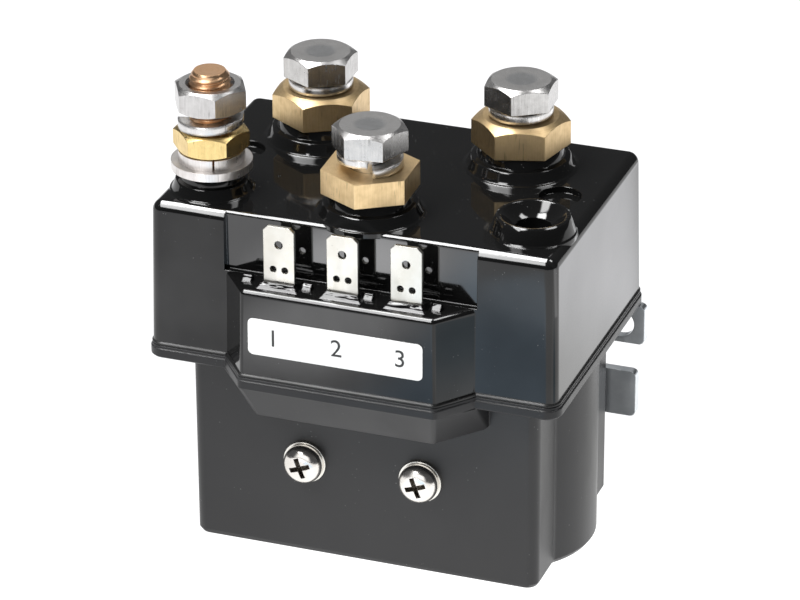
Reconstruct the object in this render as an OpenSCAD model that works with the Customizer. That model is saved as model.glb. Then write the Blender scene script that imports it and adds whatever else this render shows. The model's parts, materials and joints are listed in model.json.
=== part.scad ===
// Reversing winch contactor: two plunger coils in a plastic case, with bolt terminals on top.
// X is left to right seen from the front, Y runs from front to back, Z is up from the flat bottom.

/* [Lower housing] */
// Half width of the front and rear slabs
slab_half_w = 36.2; // [35:0.1:37]
// Front face of the housing
slab_front_y = -21; // [-22:0.1:-20.4]
// Rear face of the housing, where the bracket sits
slab_rear_y = 25; // [24:0.1:25.6]
// Height of the housing walls below the rim
wall_h = 42.4; // [41:0.1:44]
// Outer radius of the coil bulges
coil_bulge_r = 18; // [17.4:0.1:18.6]
// Thickness of the side walls and the floor
side_wall = 2.2; // [1.8:0.1:2.4]
// Thickness of the rim band
rim_h = 2.6; // [2.2:0.1:3]
// How far the rim stands out past the cover's walls
rim_proud = 0.6; // [0.5:0.1:0.9]
// How far the front bulge reaches down below the rim
skirt_h = 7.9; // [6:0.1:10]
// How far the lower edge of the front bulge is set back
skirt_set_back = 4.1; // [3:0.1:5]

/* [Upper cover] */
// Half width of the cover at its bottom edge
cover_half_w = 42; // [41.6:0.1:44]
// Half depth of the cover at its bottom edge
cover_half_d = 28; // [27.6:0.1:29]
// Height of the cover above the housing's rim
cover_h = 30.7; // [29.5:0.1:33]
// Draft of the cover on each side over its height
cover_draft = 0.5; // [0.2:0.1:0.8]
// Radius of the cover's rounded edges
cover_r = 2.3; // [1.4:0.1:2.8]
// Thickness of the cover's walls
cover_wall = 2.4; // [1.8:0.1:2.6]
// How far the front bulge stands out from the cover's front
bulge_out = 7.3; // [6.5:0.1:8]
// Half width of the front bulge's flat face
bulge_half_w = 19.9; // [19:0.1:22]
// Half width of the front bulge where it meets the wall
bulge_root_half_w = 26; // [24.5:0.1:28]
// Height of the ledge on top of the bulge, below the cover's top
ledge_drop = 12.2; // [11:0.1:13]
// Depth of the shallow panel above the ledge
panel_depth = 1.6; // [1:0.1:1.8]

/* [Terminals] */
// X of the two rear terminals either side of the middle
rear_terminal_x = 21; // [20:0.1:22]
// Distance of the rear terminals' axes from the cover's rear face
rear_terminal_inset = 15; // [14:0.1:15.4]
// X of the front middle terminal
front_terminal_x = 0.5; // [-1:0.1:1]
// Distance of the front row's axes from the cover's front face
front_row_inset = 11; // [10.8:0.1:12]
// Distance of the copper stud's axis from the cover's side
stud_inset = 9.6; // [9.2:0.1:11]
// Height of the moulded collars
collar_h = 4.5; // [3.6:0.1:5]
// Across flats of the brass hexagons
brass_af = 17; // [16:0.5:18]
// Thickness of the two rear brass hexagons
rear_brass_h = 6.3; // [5.5:0.1:6.5]
// Thickness of the front brass hexagon
front_brass_h = 5.1; // [4.5:0.1:6]
// Height of the bolts' heads above the collars, with room for a relaxed split washer
head_lift = 8.8; // [8.6:0.1:9.4]
// Across flats of the M8 bolts and nuts
m8_af = 13; // [13:0.5:14]
// Thickness of the bolts' heads
head_h = 5; // [4.8:0.1:6]
// Thickness of the nuts on the stud, brass and steel
stud_nut_h = [4.7, 5.3];

/* [Blades] */
// Distance between neighbouring blades
blade_pitch = 13; // [12:0.1:14]
// Width of a blade
blade_w = 6.3; // [4.8, 6.3]
// Thickness of a blade
blade_t = 0.8; // [0.5, 0.8]
// How far a blade stands above the ledge
blade_l = 12.9; // [11:0.1:14]

/* [Bracket] */
// Thickness of the bracket plate
bracket_t = 2; // [1.5:0.1:2.4]
// Half width over the upper ears
upper_ear_half_w = 43.6; // [43:0.1:46]
// Half width over the lower ears
lower_ear_half_w = 42; // [40:0.1:44]
// Half distance between the holes in the upper ears
ear_hole_x = 38.4; // [37:0.1:39]
// Diameter of the holes in the upper ears
ear_hole_d = 6; // [4.5:0.5:6.5]

/* [Contactor works] */
// X of each coil's axis
coil_x = 22.5; // [21.5:0.1:23.5]
// Travel of each plunger
stroke = 2.5; // [1.5:0.1:3]
// Radial running gap of a plunger in its bobbin
plunger_gap = 0.08; // [0.05:0.01:0.1]
// Diameter of a plunger's bore in its bobbin
bobbin_bore = 13.2; // [12:0.1:14]

/* [Hidden] */
$fn = 64;
EPS = 0.01;
// housing
coil_y = 2;
inner_half_w = slab_half_w - side_wall;
inner_front_y = slab_front_y + side_wall;
inner_rear_y = slab_rear_y - side_wall;
bottom_round = 0.9;
plan_corner_r = 2.2;
valley_r = 1.8;
deck_z = wall_h + rim_h;
rim_corner_r = 3.2;
bulge_corner_r = 1.6;
// the rim's upper step and the cover's lip have the same reach, with a fine groove between them
lip_out = 0.35;
lip_h = 0.7;
rim_step_h = 0.65;
edge_bevel = 0.3;
seam_bevel = 0.15;
bulge_low_z = wall_h - skirt_h;
skirt_half_w = bulge_half_w - 1.5;
skirt_root_half_w = bulge_root_half_w + 0.2;
// cover
cover_top_z = deck_z + cover_h;
bulge_front_y = -cover_half_d - bulge_out;
bulge_r = 1.1;
panel_edge_r = 0.9;
bulge_lean = 0.3;
ledge_z = cover_top_z - ledge_drop;
panel_y = -cover_half_d + panel_depth;
cover_inner_half_w = cover_half_w - cover_wall;
cover_inner_half_d = cover_half_d - cover_wall;
ceiling_z = cover_top_z - cover_wall;
pillar_r = 6.2;
recess_xy = [cover_half_w - 9, 1.4];
recess_r = 4.2;
recess_depth = 1.3;
boss_xy = [cover_half_w - 9.1, 13.1 - cover_half_d];
// places and levels of the terminals
rear_terminal_y = cover_half_d - rear_terminal_inset;
front_row_y = front_row_inset - cover_half_d;
stud_x = stud_inset - cover_half_w;
collar_z = cover_top_z + collar_h;
brass_h = [rear_brass_h, rear_brass_h, front_brass_h];
head_z = collar_z + head_lift;
bolt_r = 4;
bolt_reach = 12;
shank_r = 5;
tap_r = 4.05;
washer_bore_r = 4.15;
stud_collar_r = 8;
terminal_collar_r = [11, 11, 10.4];
// the left, right and front bolt terminals, and how each piece happens to be turned
terminal_xy = [
  [-rear_terminal_x, rear_terminal_y], [rear_terminal_x, rear_terminal_y], [front_terminal_x, front_row_y]
];
brass_turns = [29, 17, 32];
bolt_turns = [31, 33, 9];
slit_turns = [150, 100, 290];
// levels of the contact works, hung from the cover's ceiling
bar_t = 3;
upper_bar_z = ceiling_z - 10.6;
lower_bar_t = 2.5;
tip_h = 1;
tip_r = 3;
tip_gap = 0.05;
upper_tip_z = upper_bar_z - tip_h;
bridge_t = 2.5;
bridge_z = upper_tip_z - tip_gap - tip_h - bridge_t;
lower_tip_top_z = bridge_z - tip_h - stroke - tip_gap;
lower_bar_z = lower_tip_top_z - tip_h - lower_bar_t;
tip_dy = 10.5;
base_t = 2.6;
base_top_z = deck_z + base_t;
base_gap = 0.1;
// the magnet, stood on the housing's floor
frame_t = 2.5;
frame_half_w = inner_half_w - 3.8;
flux_t = 2.5;
leg_top_z = deck_z - 4.8 - flux_t;
bobbin_z = side_wall + frame_t;
bobbin_r = bobbin_bore / 2;
flange_r = 14.6;
flange_t = 1.5;
winding_r = flange_r - 0.8;
tube_r = bobbin_r + 1.4;
core_top_z = 18;
core_tail_r = 3;
core_gap = 0.05;
pole_gap = stroke + 0.1;
plunger_z = core_top_z + pole_gap;
plunger_top_z = deck_z - 1.6;
spring_pocket_r = 3.6;
core_pocket_depth = 5;
plunger_pocket_depth = 6;
rod_r = 2;
rod_gap = 0.06;
rod_foot_z = plunger_top_z - 8;
rod_top_z = ceiling_z - 3.1;
clip_t = 0.8;
clip_r = 4.4;
seat_z = base_top_z + stroke + 0.4;
top_clip_z = rod_top_z - 1.2 - clip_t;
bush_r = 3.2;
bush_flange_r = 5;
bush_flange_t = 1.45;
// fixings
screw_x = 12.15;
screw_z = 20.6;
screw_reach = 2.2;
m4_r = 2;
m4_clear = 0.15;
screw_washer_r = 4.4;
screw_washer_t = 0.9;
// label
label_w = 35.8;
label_h = 7.7;
label_t = 0.15;
label_r = 1.1;
label_x = -0.3;
label_above_deck = 9.2;

// Colours as the photo shows them
SATIN_BLACK = [0.19, 0.19, 0.20];
GLOSS_BLACK = [0.06, 0.07, 0.08];
ZINC = [0.62, 0.65, 0.67];
STEEL = [0.70, 0.70, 0.71];
BRASS = [0.80, 0.64, 0.36];
COPPER = [0.79, 0.52, 0.36];
TIN = [0.88, 0.87, 0.82];
NYLON = [0.85, 0.83, 0.76];

// Shared shapes

// A rounded rectangle with exact arcs, from x0,y0 to x1,y1
module rounded_rect(x0, y0, x1, y1, r) {
  translate([x0 + r, y0]) square([x1 - x0 - 2 * r, y1 - y0]);
  translate([x0, y0 + r]) square([x1 - x0, y1 - y0 - 2 * r]);
  for (x = [x0 + r, x1 - r], y = [y0 + r, y1 - r]) translate([x, y]) circle(r);
}

// A closed solid through a list of rings, each with the same number of points
module skin(rings, closed = false) {
  n = len(rings[0]);
  m = len(rings);
  points = [for (ring = rings) for (p = ring) p];
  last = closed ? m - 1 : m - 2;
  sides = [for (i = [0 : last]) for (j = [0 : n - 1])
    [i * n + j, i * n + (j + 1) % n, ((i + 1) % m) * n + (j + 1) % n, ((i + 1) % m) * n + j]];
  caps = closed ? [] : [
    [for (j = [n - 1 : -1 : 0]) j],
    [for (j = [0 : n - 1]) (m - 1) * n + j]
  ];
  polyhedron(points, concat(sides, caps), convexity = 10);
}

// A round wire wound into a compression spring that stands on z = 0
module coil_spring(r, wire_r, height, turns, steps = 12) {
  rise = height - 2 * wire_r;
  rings = [for (i = [0 : turns * steps])
    let (a = 360 * i / steps, z = wire_r + rise * i / (turns * steps))
    [for (j = [0 : 5])
      let (b = 60 * j, d = r + wire_r * cos(b))
      [d * cos(a), d * sin(a), z + wire_r * sin(b)]]];
  skin(rings);
}

// A split lock washer that stands on z = 0, with its slit towards the angle given
module split_washer(height, slit, inner_r = washer_bore_r, outer_r = 6.45, t = 1.7, steps = 34) {
  gap = 9;
  rise = height - t;
  rings = [for (i = [0 : steps])
    let (k = i / steps, a = slit + gap / 2 + (360 - gap) * k, z = rise * k)
    [[inner_r * cos(a), inner_r * sin(a), z],
     [outer_r * cos(a), outer_r * sin(a), z],
     [outer_r * cos(a), outer_r * sin(a), z + t],
     [inner_r * cos(a), inner_r * sin(a), z + t]]];
  skin(rings);
}

// A hexagon prism on z = 0, with round chamfers on the top, the bottom or both
module hex_prism(af, h, top = true, bottom = false, chamfer = 0.6, inset = 0.5) {
  corner_r = af / sqrt(3);
  flat_r = af / 2 - inset;
  c = chamfer;
  run = corner_r - flat_r + 0.2;
  intersection() {
    cylinder(r = corner_r, h = h, $fn = 6);
    rotate_extrude() polygon([
      [0, 0],
      [bottom ? flat_r : corner_r + 0.2, 0],
      [corner_r + 0.2, bottom ? run * c : 0],
      [corner_r + 0.2, top ? h - run * c : h],
      [top ? flat_r : corner_r + 0.2, h],
      [0, h]
    ]);
  }
}

module ring(r_in, r_out, h) {
  difference() {
    cylinder(r = r_out, h = h);
    translate([0, 0, -1]) cylinder(r = r_in, h = h + 2);
  }
}

// A pan-head screw along +Y, its head's bearing face at y = 0 and its head towards the front
module pan_screw(length) {
  head_r = 4;
  head_t = 3;
  slot_w = 1;
  slot_l = 4.4;
  slot_depth = 1.9;
  rotate([90, 0, 0]) difference() {
    union() {
      rotate_extrude() polygon([
        [0, 0], [head_r - 0.1, 0], [head_r, 0.3], [head_r, 1.1], [3.82, 1.7],
        [3.35, 2.3], [2.6, 2.75], [1.6, 2.96], [0, head_t]
      ]);
      translate([0, 0, -length]) cylinder(r = m4_r, h = length + EPS);
    }
    for (a = [20, 110]) rotate([0, 0, a])
      translate([-slot_l / 2, -slot_w / 2, head_t - slot_depth]) cube([slot_l, slot_w, slot_depth + 1]);
  }
}

// Plan of the front bulge, from its flat face back to the given depth
module bulge_plan(front_y, half_w, root_y, root_half_w, back_y) {
  polygon([
    [-half_w, front_y], [half_w, front_y], [root_half_w, root_y],
    [root_half_w, back_y], [-root_half_w, back_y], [-root_half_w, root_y]
  ]);
}

// The housing

// Plan of the lower housing at the floor: two slabs with a round bulge for each coil
module housing_plan() {
  offset(-valley_r) offset(valley_r) union() {
    rounded_rect(-slab_half_w, slab_front_y, slab_half_w, slab_rear_y, plan_corner_r);
    for (s = [-1, 1]) translate([s * coil_x, coil_y]) circle(coil_bulge_r);
  }
}

module cavity_plan() {
  translate([-inner_half_w, inner_front_y]) square([2 * inner_half_w, inner_rear_y - inner_front_y]);
  for (s = [-1, 1]) translate([s * coil_x, coil_y]) circle(coil_bulge_r - side_wall);
}

// Upright walls on a foot that is drawn in all round
module housing_walls() {
  foot_in = 0.984;
  foot_top = 0.9985;
  middle_y = (slab_front_y + slab_rear_y) / 2;
  translate([0, middle_y, 0]) linear_extrude(bottom_round + 0.05, scale = foot_top / foot_in)
    scale([foot_in, foot_in]) translate([0, -middle_y]) housing_plan();
  translate([0, 0, bottom_round]) linear_extrude(wall_h - bottom_round + EPS) housing_plan();
}

// The case's outline, out past the cover's walls by the reach given: 0 is the box, 1 the front bulge
module case_outline(part, out) {
  if (part == 0)
    rounded_rect(-cover_half_w - out, -cover_half_d - out, cover_half_w + out, cover_half_d + out,
      rim_corner_r - rim_proud + out);
  else
    offset(bulge_corner_r) offset(delta = -bulge_corner_r)
      bulge_plan(bulge_front_y - out, bulge_half_w + out / 2, -cover_half_d,
        bulge_root_half_w + out / 2, 0);
}

// A band round the case from z0 to z1, with its lower and upper edges bevelled
module band(z0, z1, out, low_bevel, top_bevel) {
  for (part = [0, 1]) hull() {
    translate([0, 0, z0 + low_bevel]) linear_extrude(z1 - z0 - low_bevel - top_bevel)
      case_outline(part, out, $fn = 32);
    translate([0, 0, z0]) linear_extrude(EPS) case_outline(part, out - low_bevel, $fn = 32);
    translate([0, 0, z1 - EPS]) linear_extrude(EPS) case_outline(part, out - top_bevel, $fn = 32);
  }
}

// The front bulge below the rim, leaning back to its rounded lower edge
module skirt() {
  back_y = slab_front_y + 2;
  low_y = bulge_front_y + skirt_set_back;
  corner_r = 1.4;
  edge = 0.6;
  $fn = 32;
  hull() {
    translate([0, 0, wall_h - 0.1]) linear_extrude(0.2)
      offset(corner_r) offset(delta = -corner_r)
        bulge_plan(bulge_front_y - 0.3, bulge_half_w, -cover_half_d - 0.3, skirt_root_half_w, back_y);
    for (k = [0, 1]) translate([0, 0, bulge_low_z + k * edge]) linear_extrude(EPS)
      offset(corner_r - edge + k * edge) offset(delta = -corner_r)
        bulge_plan(low_y - k * edge / 2, skirt_half_w, slab_front_y - 0.8, skirt_root_half_w, back_y);
  }
}

module lower_housing() {
  lead_room_half_w = 15.5;
  lead_room_y = bulge_front_y + skirt_set_back + side_wall;
  color(SATIN_BLACK) difference() {
    union() {
      housing_walls();
      skirt();
      band(wall_h, deck_z - rim_step_h + EPS, rim_proud, edge_bevel, 0.1);
      band(deck_z - 2 * rim_step_h, deck_z, lip_out, EPS, seam_bevel);
    }
    translate([0, 0, side_wall]) linear_extrude(deck_z) cavity_plan();
    // room inside the front bulge for the coil leads
    translate([-lead_room_half_w, lead_room_y, bulge_low_z + side_wall])
      cube([2 * lead_room_half_w, inner_front_y + 1 - lead_room_y, deck_z]);
    for (s = [-1, 1]) translate([s * screw_x, 0, screw_z]) {
      translate([0, slab_front_y - 2, 0]) rotate([-90, 0, 0]) cylinder(r = m4_r + m4_clear, h = side_wall + 4);
      translate([0, inner_rear_y - 1, 0]) rotate([-90, 0, 0]) cylinder(r = m4_r + m4_clear, h = side_wall + 4);
    }
  }
}

// The cover

module cover_body() {
  r = cover_r;
  hull() {
    for (x = [-1, 1], y = [-1, 1]) {
      translate([x * (cover_half_w - cover_draft - r), y * (cover_half_d - cover_draft - r), cover_top_z - r])
        sphere(r, $fn = 32);
      translate([x * (cover_half_w - r), y * (cover_half_d - r), deck_z]) cylinder(r = r, h = 0.2, $fn = 32);
    }
  }
}

// The bulge with small rounded edges round its top
module cover_bulge() {
  r = bulge_r;
  lean = bulge_lean;
  hull() {
    for (s = [-1, 1]) {
      translate([s * (bulge_half_w - lean - 0.5), bulge_front_y + lean + r, ledge_z - r]) sphere(r, $fn = 32);
      translate([s * (bulge_half_w - 0.5), bulge_front_y + r, deck_z]) cylinder(r = r, h = 0.2, $fn = 32);
      translate([s * (bulge_root_half_w - lean - 0.9), -cover_half_d + r, ledge_z - r]) sphere(r, $fn = 32);
      translate([s * (bulge_root_half_w - 0.9), -cover_half_d + r, deck_z]) cylinder(r = r, h = 0.2, $fn = 32);
    }
    translate([-bulge_half_w, -cover_half_d + cover_wall, deck_z])
      cube([2 * bulge_half_w, 1, ledge_z - deck_z]);
  }
}

// A stepped conical collar round a terminal, standing on the cover's top face
module collar(base_r) {
  k = base_r / 11;
  rotate_extrude() polygon([
    [0, -1], [base_r + 0.5 * k, -1], [base_r + 0.5 * k, 0.05], [base_r, 0.2], [base_r - 0.5 * k, 0.9],
    [base_r - 0.9 * k, 1.9], [base_r - 1.2 * k, 2.3], [base_r - 2.3 * k, 2.5], [base_r - 2.5 * k, 3.3],
    [base_r - 2.9 * k, collar_h - 0.25], [base_r - 3.2 * k, collar_h], [0, collar_h]
  ]);
}

// The unused fifth position: a blank boss with a funnel
module blank_boss() {
  rotate_extrude() polygon([
    [0, -9.5], [6, -9.5], [6, -2], [8.5, -1], [8.5, 0.05], [8.2, 0.35], [7.9, 1.4], [7.5, 2.6],
    [7.2, 3.15], [6.8, 3.4], [6.3, 3.3], [5.3, 2.3], [4.2, 1.3], [3.5, 0.9], [3.5, -3.5],
    [2.5, -3.5], [2.5, -7], [0, -7]
  ]);
}

// Side view of a blade's foot: two bevelled steps
module foot_profile(half) {
  polygon([
    [-half, -1], [half, -1], [half, 0], [half - 0.5, 0.5], [half - 0.55, 0.65], [half - 1.05, 1.15],
    [1.05 - half, 1.15], [0.55 - half, 0.65], [0.5 - half, 0.5], [-half, 0]
  ]);
}

// The bevelled foot from which a blade rises
module blade_foot() {
  half_w = 4.2;
  half_d = 2;
  intersection() {
    rotate([90, 0, 0]) translate([0, 0, -half_d]) linear_extrude(2 * half_d) foot_profile(half_w);
    rotate([90, 0, 90]) translate([0, 0, -half_w]) linear_extrude(2 * half_w) foot_profile(half_d);
  }
}

// A small nub on the ledge with a sloping front
module nub() {
  w = 1.8;
  rotate([90, 0, 90]) translate([0, 0, -w / 2]) linear_extrude(w)
    polygon([[0, -0.5], [0, 0.1], [1, 1.1], [1.8, 1.1], [1.8, -0.5]]);
}

// The room cut out above the ledge: its rear face is the panel, with a rounded edge at the top
module panel_cut() {
  half_w = bulge_root_half_w - 0.1;
  r = panel_edge_r;
  rotate([90, 0, 90]) translate([0, 0, -half_w]) linear_extrude(2 * half_w) difference() {
    translate([bulge_front_y, ledge_z]) square([panel_y + r - bulge_front_y, ledge_drop + 1]);
    translate([panel_y, ledge_z - 1]) square([r + 1, ledge_drop + 1 - r]);
    translate([panel_y + r, cover_top_z - r]) circle(r);
  }
}

blade_y = bulge_front_y + 4.2;
blade_xs = [-blade_pitch, 0, blade_pitch];
// small moulded nubs beside the blades
nub_xs = [-blade_pitch - 7, -blade_pitch + 5.3, 4.9, blade_pitch + 5.8];

module upper_cover() {
  upper_pillar_xy = [terminal_xy[0], terminal_xy[1], [stud_x, front_row_y]];
  color(GLOSS_BLACK) difference() {
    union() {
      difference() {
        union() {
          difference() {
            cover_body();
            panel_cut();
          }
          cover_bulge();
          band(deck_z, deck_z + lip_h, lip_out, seam_bevel, edge_bevel);
          for (i = [0 : 2])
            translate([terminal_xy[i][0], terminal_xy[i][1], cover_top_z]) collar(terminal_collar_r[i]);
          translate([stud_x, front_row_y, cover_top_z]) collar(stud_collar_r);
        }
        translate([-cover_inner_half_w, -cover_inner_half_d, deck_z - 1])
          cube([2 * cover_inner_half_w, 2 * cover_inner_half_d, ceiling_z - deck_z + 1]);
        translate([0, 0, deck_z - 1]) linear_extrude(ledge_z - cover_wall - deck_z + 1)
          bulge_plan(bulge_front_y + cover_wall, bulge_half_w - 1.6, -cover_half_d + 0.6,
            bulge_root_half_w - cover_wall - 0.2, -cover_inner_half_d + 5);
        translate([boss_xy[0], boss_xy[1], cover_top_z - 2]) cylinder(r = 6.5, h = 5);
      }
      translate([boss_xy[0], boss_xy[1], cover_top_z]) blank_boss();
      // thicker wall behind the panel
      translate([-bulge_root_half_w, -cover_inner_half_d - EPS, ledge_z - cover_wall])
        cube([2 * bulge_root_half_w, 1.2, ceiling_z + EPS - ledge_z + cover_wall]);
      for (x = blade_xs) translate([x, blade_y, ledge_z]) blade_foot();
      for (x = nub_xs) translate([x, blade_y, ledge_z]) nub();
      // pillars that carry the terminals down to the bars
      for (p = upper_pillar_xy) translate([p[0], p[1], upper_bar_z + bar_t])
        cylinder(r = pillar_r, h = cover_top_z - 1 - upper_bar_z - bar_t);
      translate([front_terminal_x, front_row_y, upper_bar_z + bar_t + 0.5])
        cylinder(r = pillar_r, h = cover_top_z - 1.5 - upper_bar_z - bar_t);
    }
    for (p = terminal_xy) translate([p[0], p[1], lower_bar_z]) cylinder(r = shank_r, h = collar_z);
    translate([stud_x, front_row_y, lower_bar_z]) cylinder(r = bolt_r, h = collar_z);
    for (s = [-1, 1]) translate([s * recess_xy[0], recess_xy[1], cover_top_z - recess_depth])
      cylinder(r = recess_r, h = recess_depth + 1);
    for (x = blade_xs)
      translate([x - blade_w / 2, blade_y - blade_t / 2, deck_z]) cube([blade_w, blade_t, ledge_z]);
  }
}

// The label follows the lean of the bulge's face
module front_label() {
  lean_angle = atan(bulge_lean / (ledge_z - bulge_r - deck_z));
  color("white") translate([label_x, bulge_front_y, deck_z]) rotate([-lean_angle, 0, 0])
    translate([0, -0.02, label_above_deck]) rotate([90, 0, 0]) linear_extrude(label_t)
      rounded_rect(-label_w / 2, -label_h / 2, label_w / 2, label_h / 2, label_r);
}

// The bracket

// heights of the ears below the rim
upper_ear_z = [wall_h - 8.9, wall_h - 0.3];
ear_hole_z = wall_h - 4.7;
lower_ear_z = [wall_h - 25.5, wall_h - 15.4];

// Front view of the plate, with two ears on each side
module bracket_plan() {
  half_w = 31;
  low_z = wall_h - 29.7;
  ear_r = 1.2;
  rounded_rect(-half_w, low_z, half_w, upper_ear_z[1], 2);
  rounded_rect(-upper_ear_half_w, upper_ear_z[0], upper_ear_half_w, upper_ear_z[1], ear_r);
  rounded_rect(-lower_ear_half_w, lower_ear_z[0], lower_ear_half_w, lower_ear_z[1], ear_r);
}

module mounting_bracket() {
  color(ZINC) difference() {
    translate([0, slab_rear_y + bracket_t, 0]) rotate([90, 0, 0]) linear_extrude(bracket_t) bracket_plan();
    for (s = [-1, 1]) {
      translate([s * ear_hole_x, slab_rear_y - 1, ear_hole_z]) rotate([-90, 0, 0])
        cylinder(d = ear_hole_d, h = bracket_t + 2);
      translate([s * screw_x, slab_rear_y - 1, screw_z]) rotate([-90, 0, 0])
        cylinder(r = m4_r + m4_clear, h = bracket_t + 2);
    }
  }
}

// Screws hold the magnet's frame from the front, and from behind together with the bracket
module front_screws() {
  length = screw_washer_t + side_wall + frame_t + screw_reach;
  color(STEEL) for (s = [-1, 1])
    translate([s * screw_x, slab_front_y - screw_washer_t, screw_z]) pan_screw(length);
}

module front_screw_washers() {
  color(ZINC) for (s = [-1, 1])
    translate([s * screw_x, slab_front_y, screw_z]) rotate([90, 0, 0])
      ring(m4_r + m4_clear, screw_washer_r, screw_washer_t);
}

module bracket_screws() {
  length = screw_washer_t + bracket_t + side_wall + frame_t + screw_reach;
  color(STEEL) for (s = [-1, 1])
    translate([s * screw_x, slab_rear_y + bracket_t + screw_washer_t, screw_z])
      rotate([0, 0, 180]) pan_screw(length);
}

module bracket_screw_washers() {
  color(ZINC) for (s = [-1, 1])
    translate([s * screw_x, slab_rear_y + bracket_t, screw_z]) rotate([-90, 0, 0])
      ring(m4_r + m4_clear, screw_washer_r, screw_washer_t);
}

// Terminals on top

// A brass hexagon on a shank, tapped for the bolt; its riveted foot fills the bar it stands on
module brass_terminal(i, chamfered_top, bar_z, bar_thickness) {
  foot_z = bar_z + bar_thickness;
  color(BRASS) translate([terminal_xy[i][0], terminal_xy[i][1], 0]) difference() {
    union() {
      translate([0, 0, collar_z]) rotate([0, 0, brass_turns[i]])
        hex_prism(brass_af, brass_h[i], top = chamfered_top, inset = 0.95);
      translate([0, 0, foot_z]) cylinder(r = shank_r, h = collar_z - foot_z + EPS);
      translate([0, 0, bar_z]) cylinder(r = bolt_r, h = bar_thickness + EPS);
    }
    translate([0, 0, collar_z + brass_h[i] - bolt_reach - 2.5]) cylinder(r = tap_r, h = bolt_reach + 3);
  }
}

module left_motor_terminal() brass_terminal(0, true, upper_bar_z, bar_t);
module right_motor_terminal() brass_terminal(1, true, upper_bar_z, bar_t);
module positive_terminal() brass_terminal(2, false, lower_bar_z, lower_bar_t);

// A bolt with its head on z = 0 and the gap given between its head and the brass
module m8_bolt(gap) {
  dimple_r = 3.3;
  dimple_floor_r = 2.7;
  dimple_depth = 0.12;
  difference() {
    hex_prism(m8_af, head_h, inset = 0.6);
    translate([0, 0, head_h - dimple_depth]) cylinder(r1 = dimple_floor_r, r2 = dimple_r, h = dimple_depth + EPS);
  }
  translate([0, 0, -gap - bolt_reach]) cylinder(r = bolt_r, h = gap + bolt_reach + EPS);
}

module terminal_bolts() {
  color(STEEL) for (i = [0 : 2])
    translate([terminal_xy[i][0], terminal_xy[i][1], head_z]) rotate([0, 0, bolt_turns[i]])
      m8_bolt(head_lift - brass_h[i]);
}

module terminal_lock_washers() {
  color(STEEL) for (i = [0 : 2])
    translate([terminal_xy[i][0], terminal_xy[i][1], collar_z + brass_h[i]])
      split_washer(head_lift - brass_h[i], slit_turns[i]);
}

// the stack on the stud, from the collar up
flat_washer_t = 1.7;
flat_washer_r = 8;
closed_washer_t = 2.1;
open_washer_h = 3.9;
stud_proud = 2.6;
lower_lock_z = collar_z + flat_washer_t;
brass_nut_z = lower_lock_z + closed_washer_t;
upper_lock_z = brass_nut_z + stud_nut_h[0];
steel_nut_z = upper_lock_z + open_washer_h;
stud_top_z = steel_nut_z + stud_nut_h[1] + stud_proud;

module negative_stud() {
  head_r = 6;
  head_t = 4;
  end_chamfer = [0.7, 0.9];
  color(COPPER) translate([stud_x, front_row_y, 0]) {
    translate([0, 0, upper_bar_z - head_t]) cylinder(r = head_r, h = head_t);
    rotate_extrude() polygon([
      [0, upper_bar_z - EPS], [bolt_r, upper_bar_z - EPS], [bolt_r, stud_top_z - end_chamfer[1]],
      [bolt_r - end_chamfer[0], stud_top_z], [0, stud_top_z]
    ]);
  }
}

module stud_flat_washer() {
  color(ZINC) translate([stud_x, front_row_y, collar_z]) ring(washer_bore_r, flat_washer_r, flat_washer_t);
}

// A lock washer pressed flat: a closed ring with a thin slit
module stud_lower_lock_washer() {
  slit_w = 0.4;
  color(STEEL) translate([stud_x, front_row_y, lower_lock_z]) difference() {
    ring(washer_bore_r, 6.55, closed_washer_t);
    rotate([0, 0, 295]) translate([0, -slit_w / 2, -1]) cube([10, slit_w, closed_washer_t + 2]);
  }
}

module stud_brass_nut() {
  color(BRASS) translate([stud_x, front_row_y, brass_nut_z]) difference() {
    rotate([0, 0, 15]) hex_prism(m8_af, stud_nut_h[0], bottom = true);
    translate([0, 0, -1]) cylinder(r = tap_r, h = stud_nut_h[0] + 2);
  }
}

module stud_upper_lock_washer() {
  color(STEEL) translate([stud_x, front_row_y, upper_lock_z]) split_washer(open_washer_h, 190);
}

module stud_steel_nut() {
  h = stud_nut_h[1];
  countersink = 0.75;
  color(STEEL) translate([stud_x, front_row_y, steel_nut_z]) difference() {
    rotate([0, 0, -1]) hex_prism(m8_af, h, bottom = true);
    translate([0, 0, -1]) cylinder(r = tap_r, h = h + 2);
    translate([0, 0, h - countersink + EPS]) cylinder(r1 = tap_r, r2 = tap_r + countersink, h = countersink);
  }
}

// Coil blades and leads

blade_top_z = ledge_z + blade_l;
blade_foot_z = ledge_z - 11.3;

module coil_blade(x) {
  half_w = blade_w / 2;
  notch = 0.9;
  // radius and distance from the top of the hole near the tip and of the pair below it
  tip_hole = [0.85, 3.8];
  pair_hole = [0.68, 9.05];
  pair_dx = 1.2;
  color(TIN) translate([x, blade_y + blade_t / 2, 0]) rotate([90, 0, 0]) linear_extrude(blade_t) difference() {
    polygon([
      [-half_w, blade_foot_z], [half_w, blade_foot_z], [half_w, blade_top_z - notch],
      [half_w - notch, blade_top_z], [notch - half_w, blade_top_z], [-half_w, blade_top_z - notch]
    ]);
    translate([0, blade_top_z - tip_hole[1]]) circle(tip_hole[0]);
    for (s = [-1, 1]) translate([s * pair_dx, blade_top_z - pair_hole[1]]) circle(pair_hole[0]);
  }
}

module left_coil_blade() coil_blade(blade_xs[0]);
module common_coil_blade() coil_blade(blade_xs[1]);
module right_coil_blade() coil_blade(blade_xs[2]);

lead_r = 0.6;
// where the two leads of the right coil pass up through the flux plate
outer_lead = [coil_x - 12.5, coil_y - 15];
inner_lead = [coil_x - 15.5, coil_y - 13];
lead_hole_r = 2 * lead_r;
lead_slot_d = 5;
lead_slot_y = -cover_inner_half_d - base_gap;
lead_y = blade_y + blade_t / 2 + lead_r;

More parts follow.
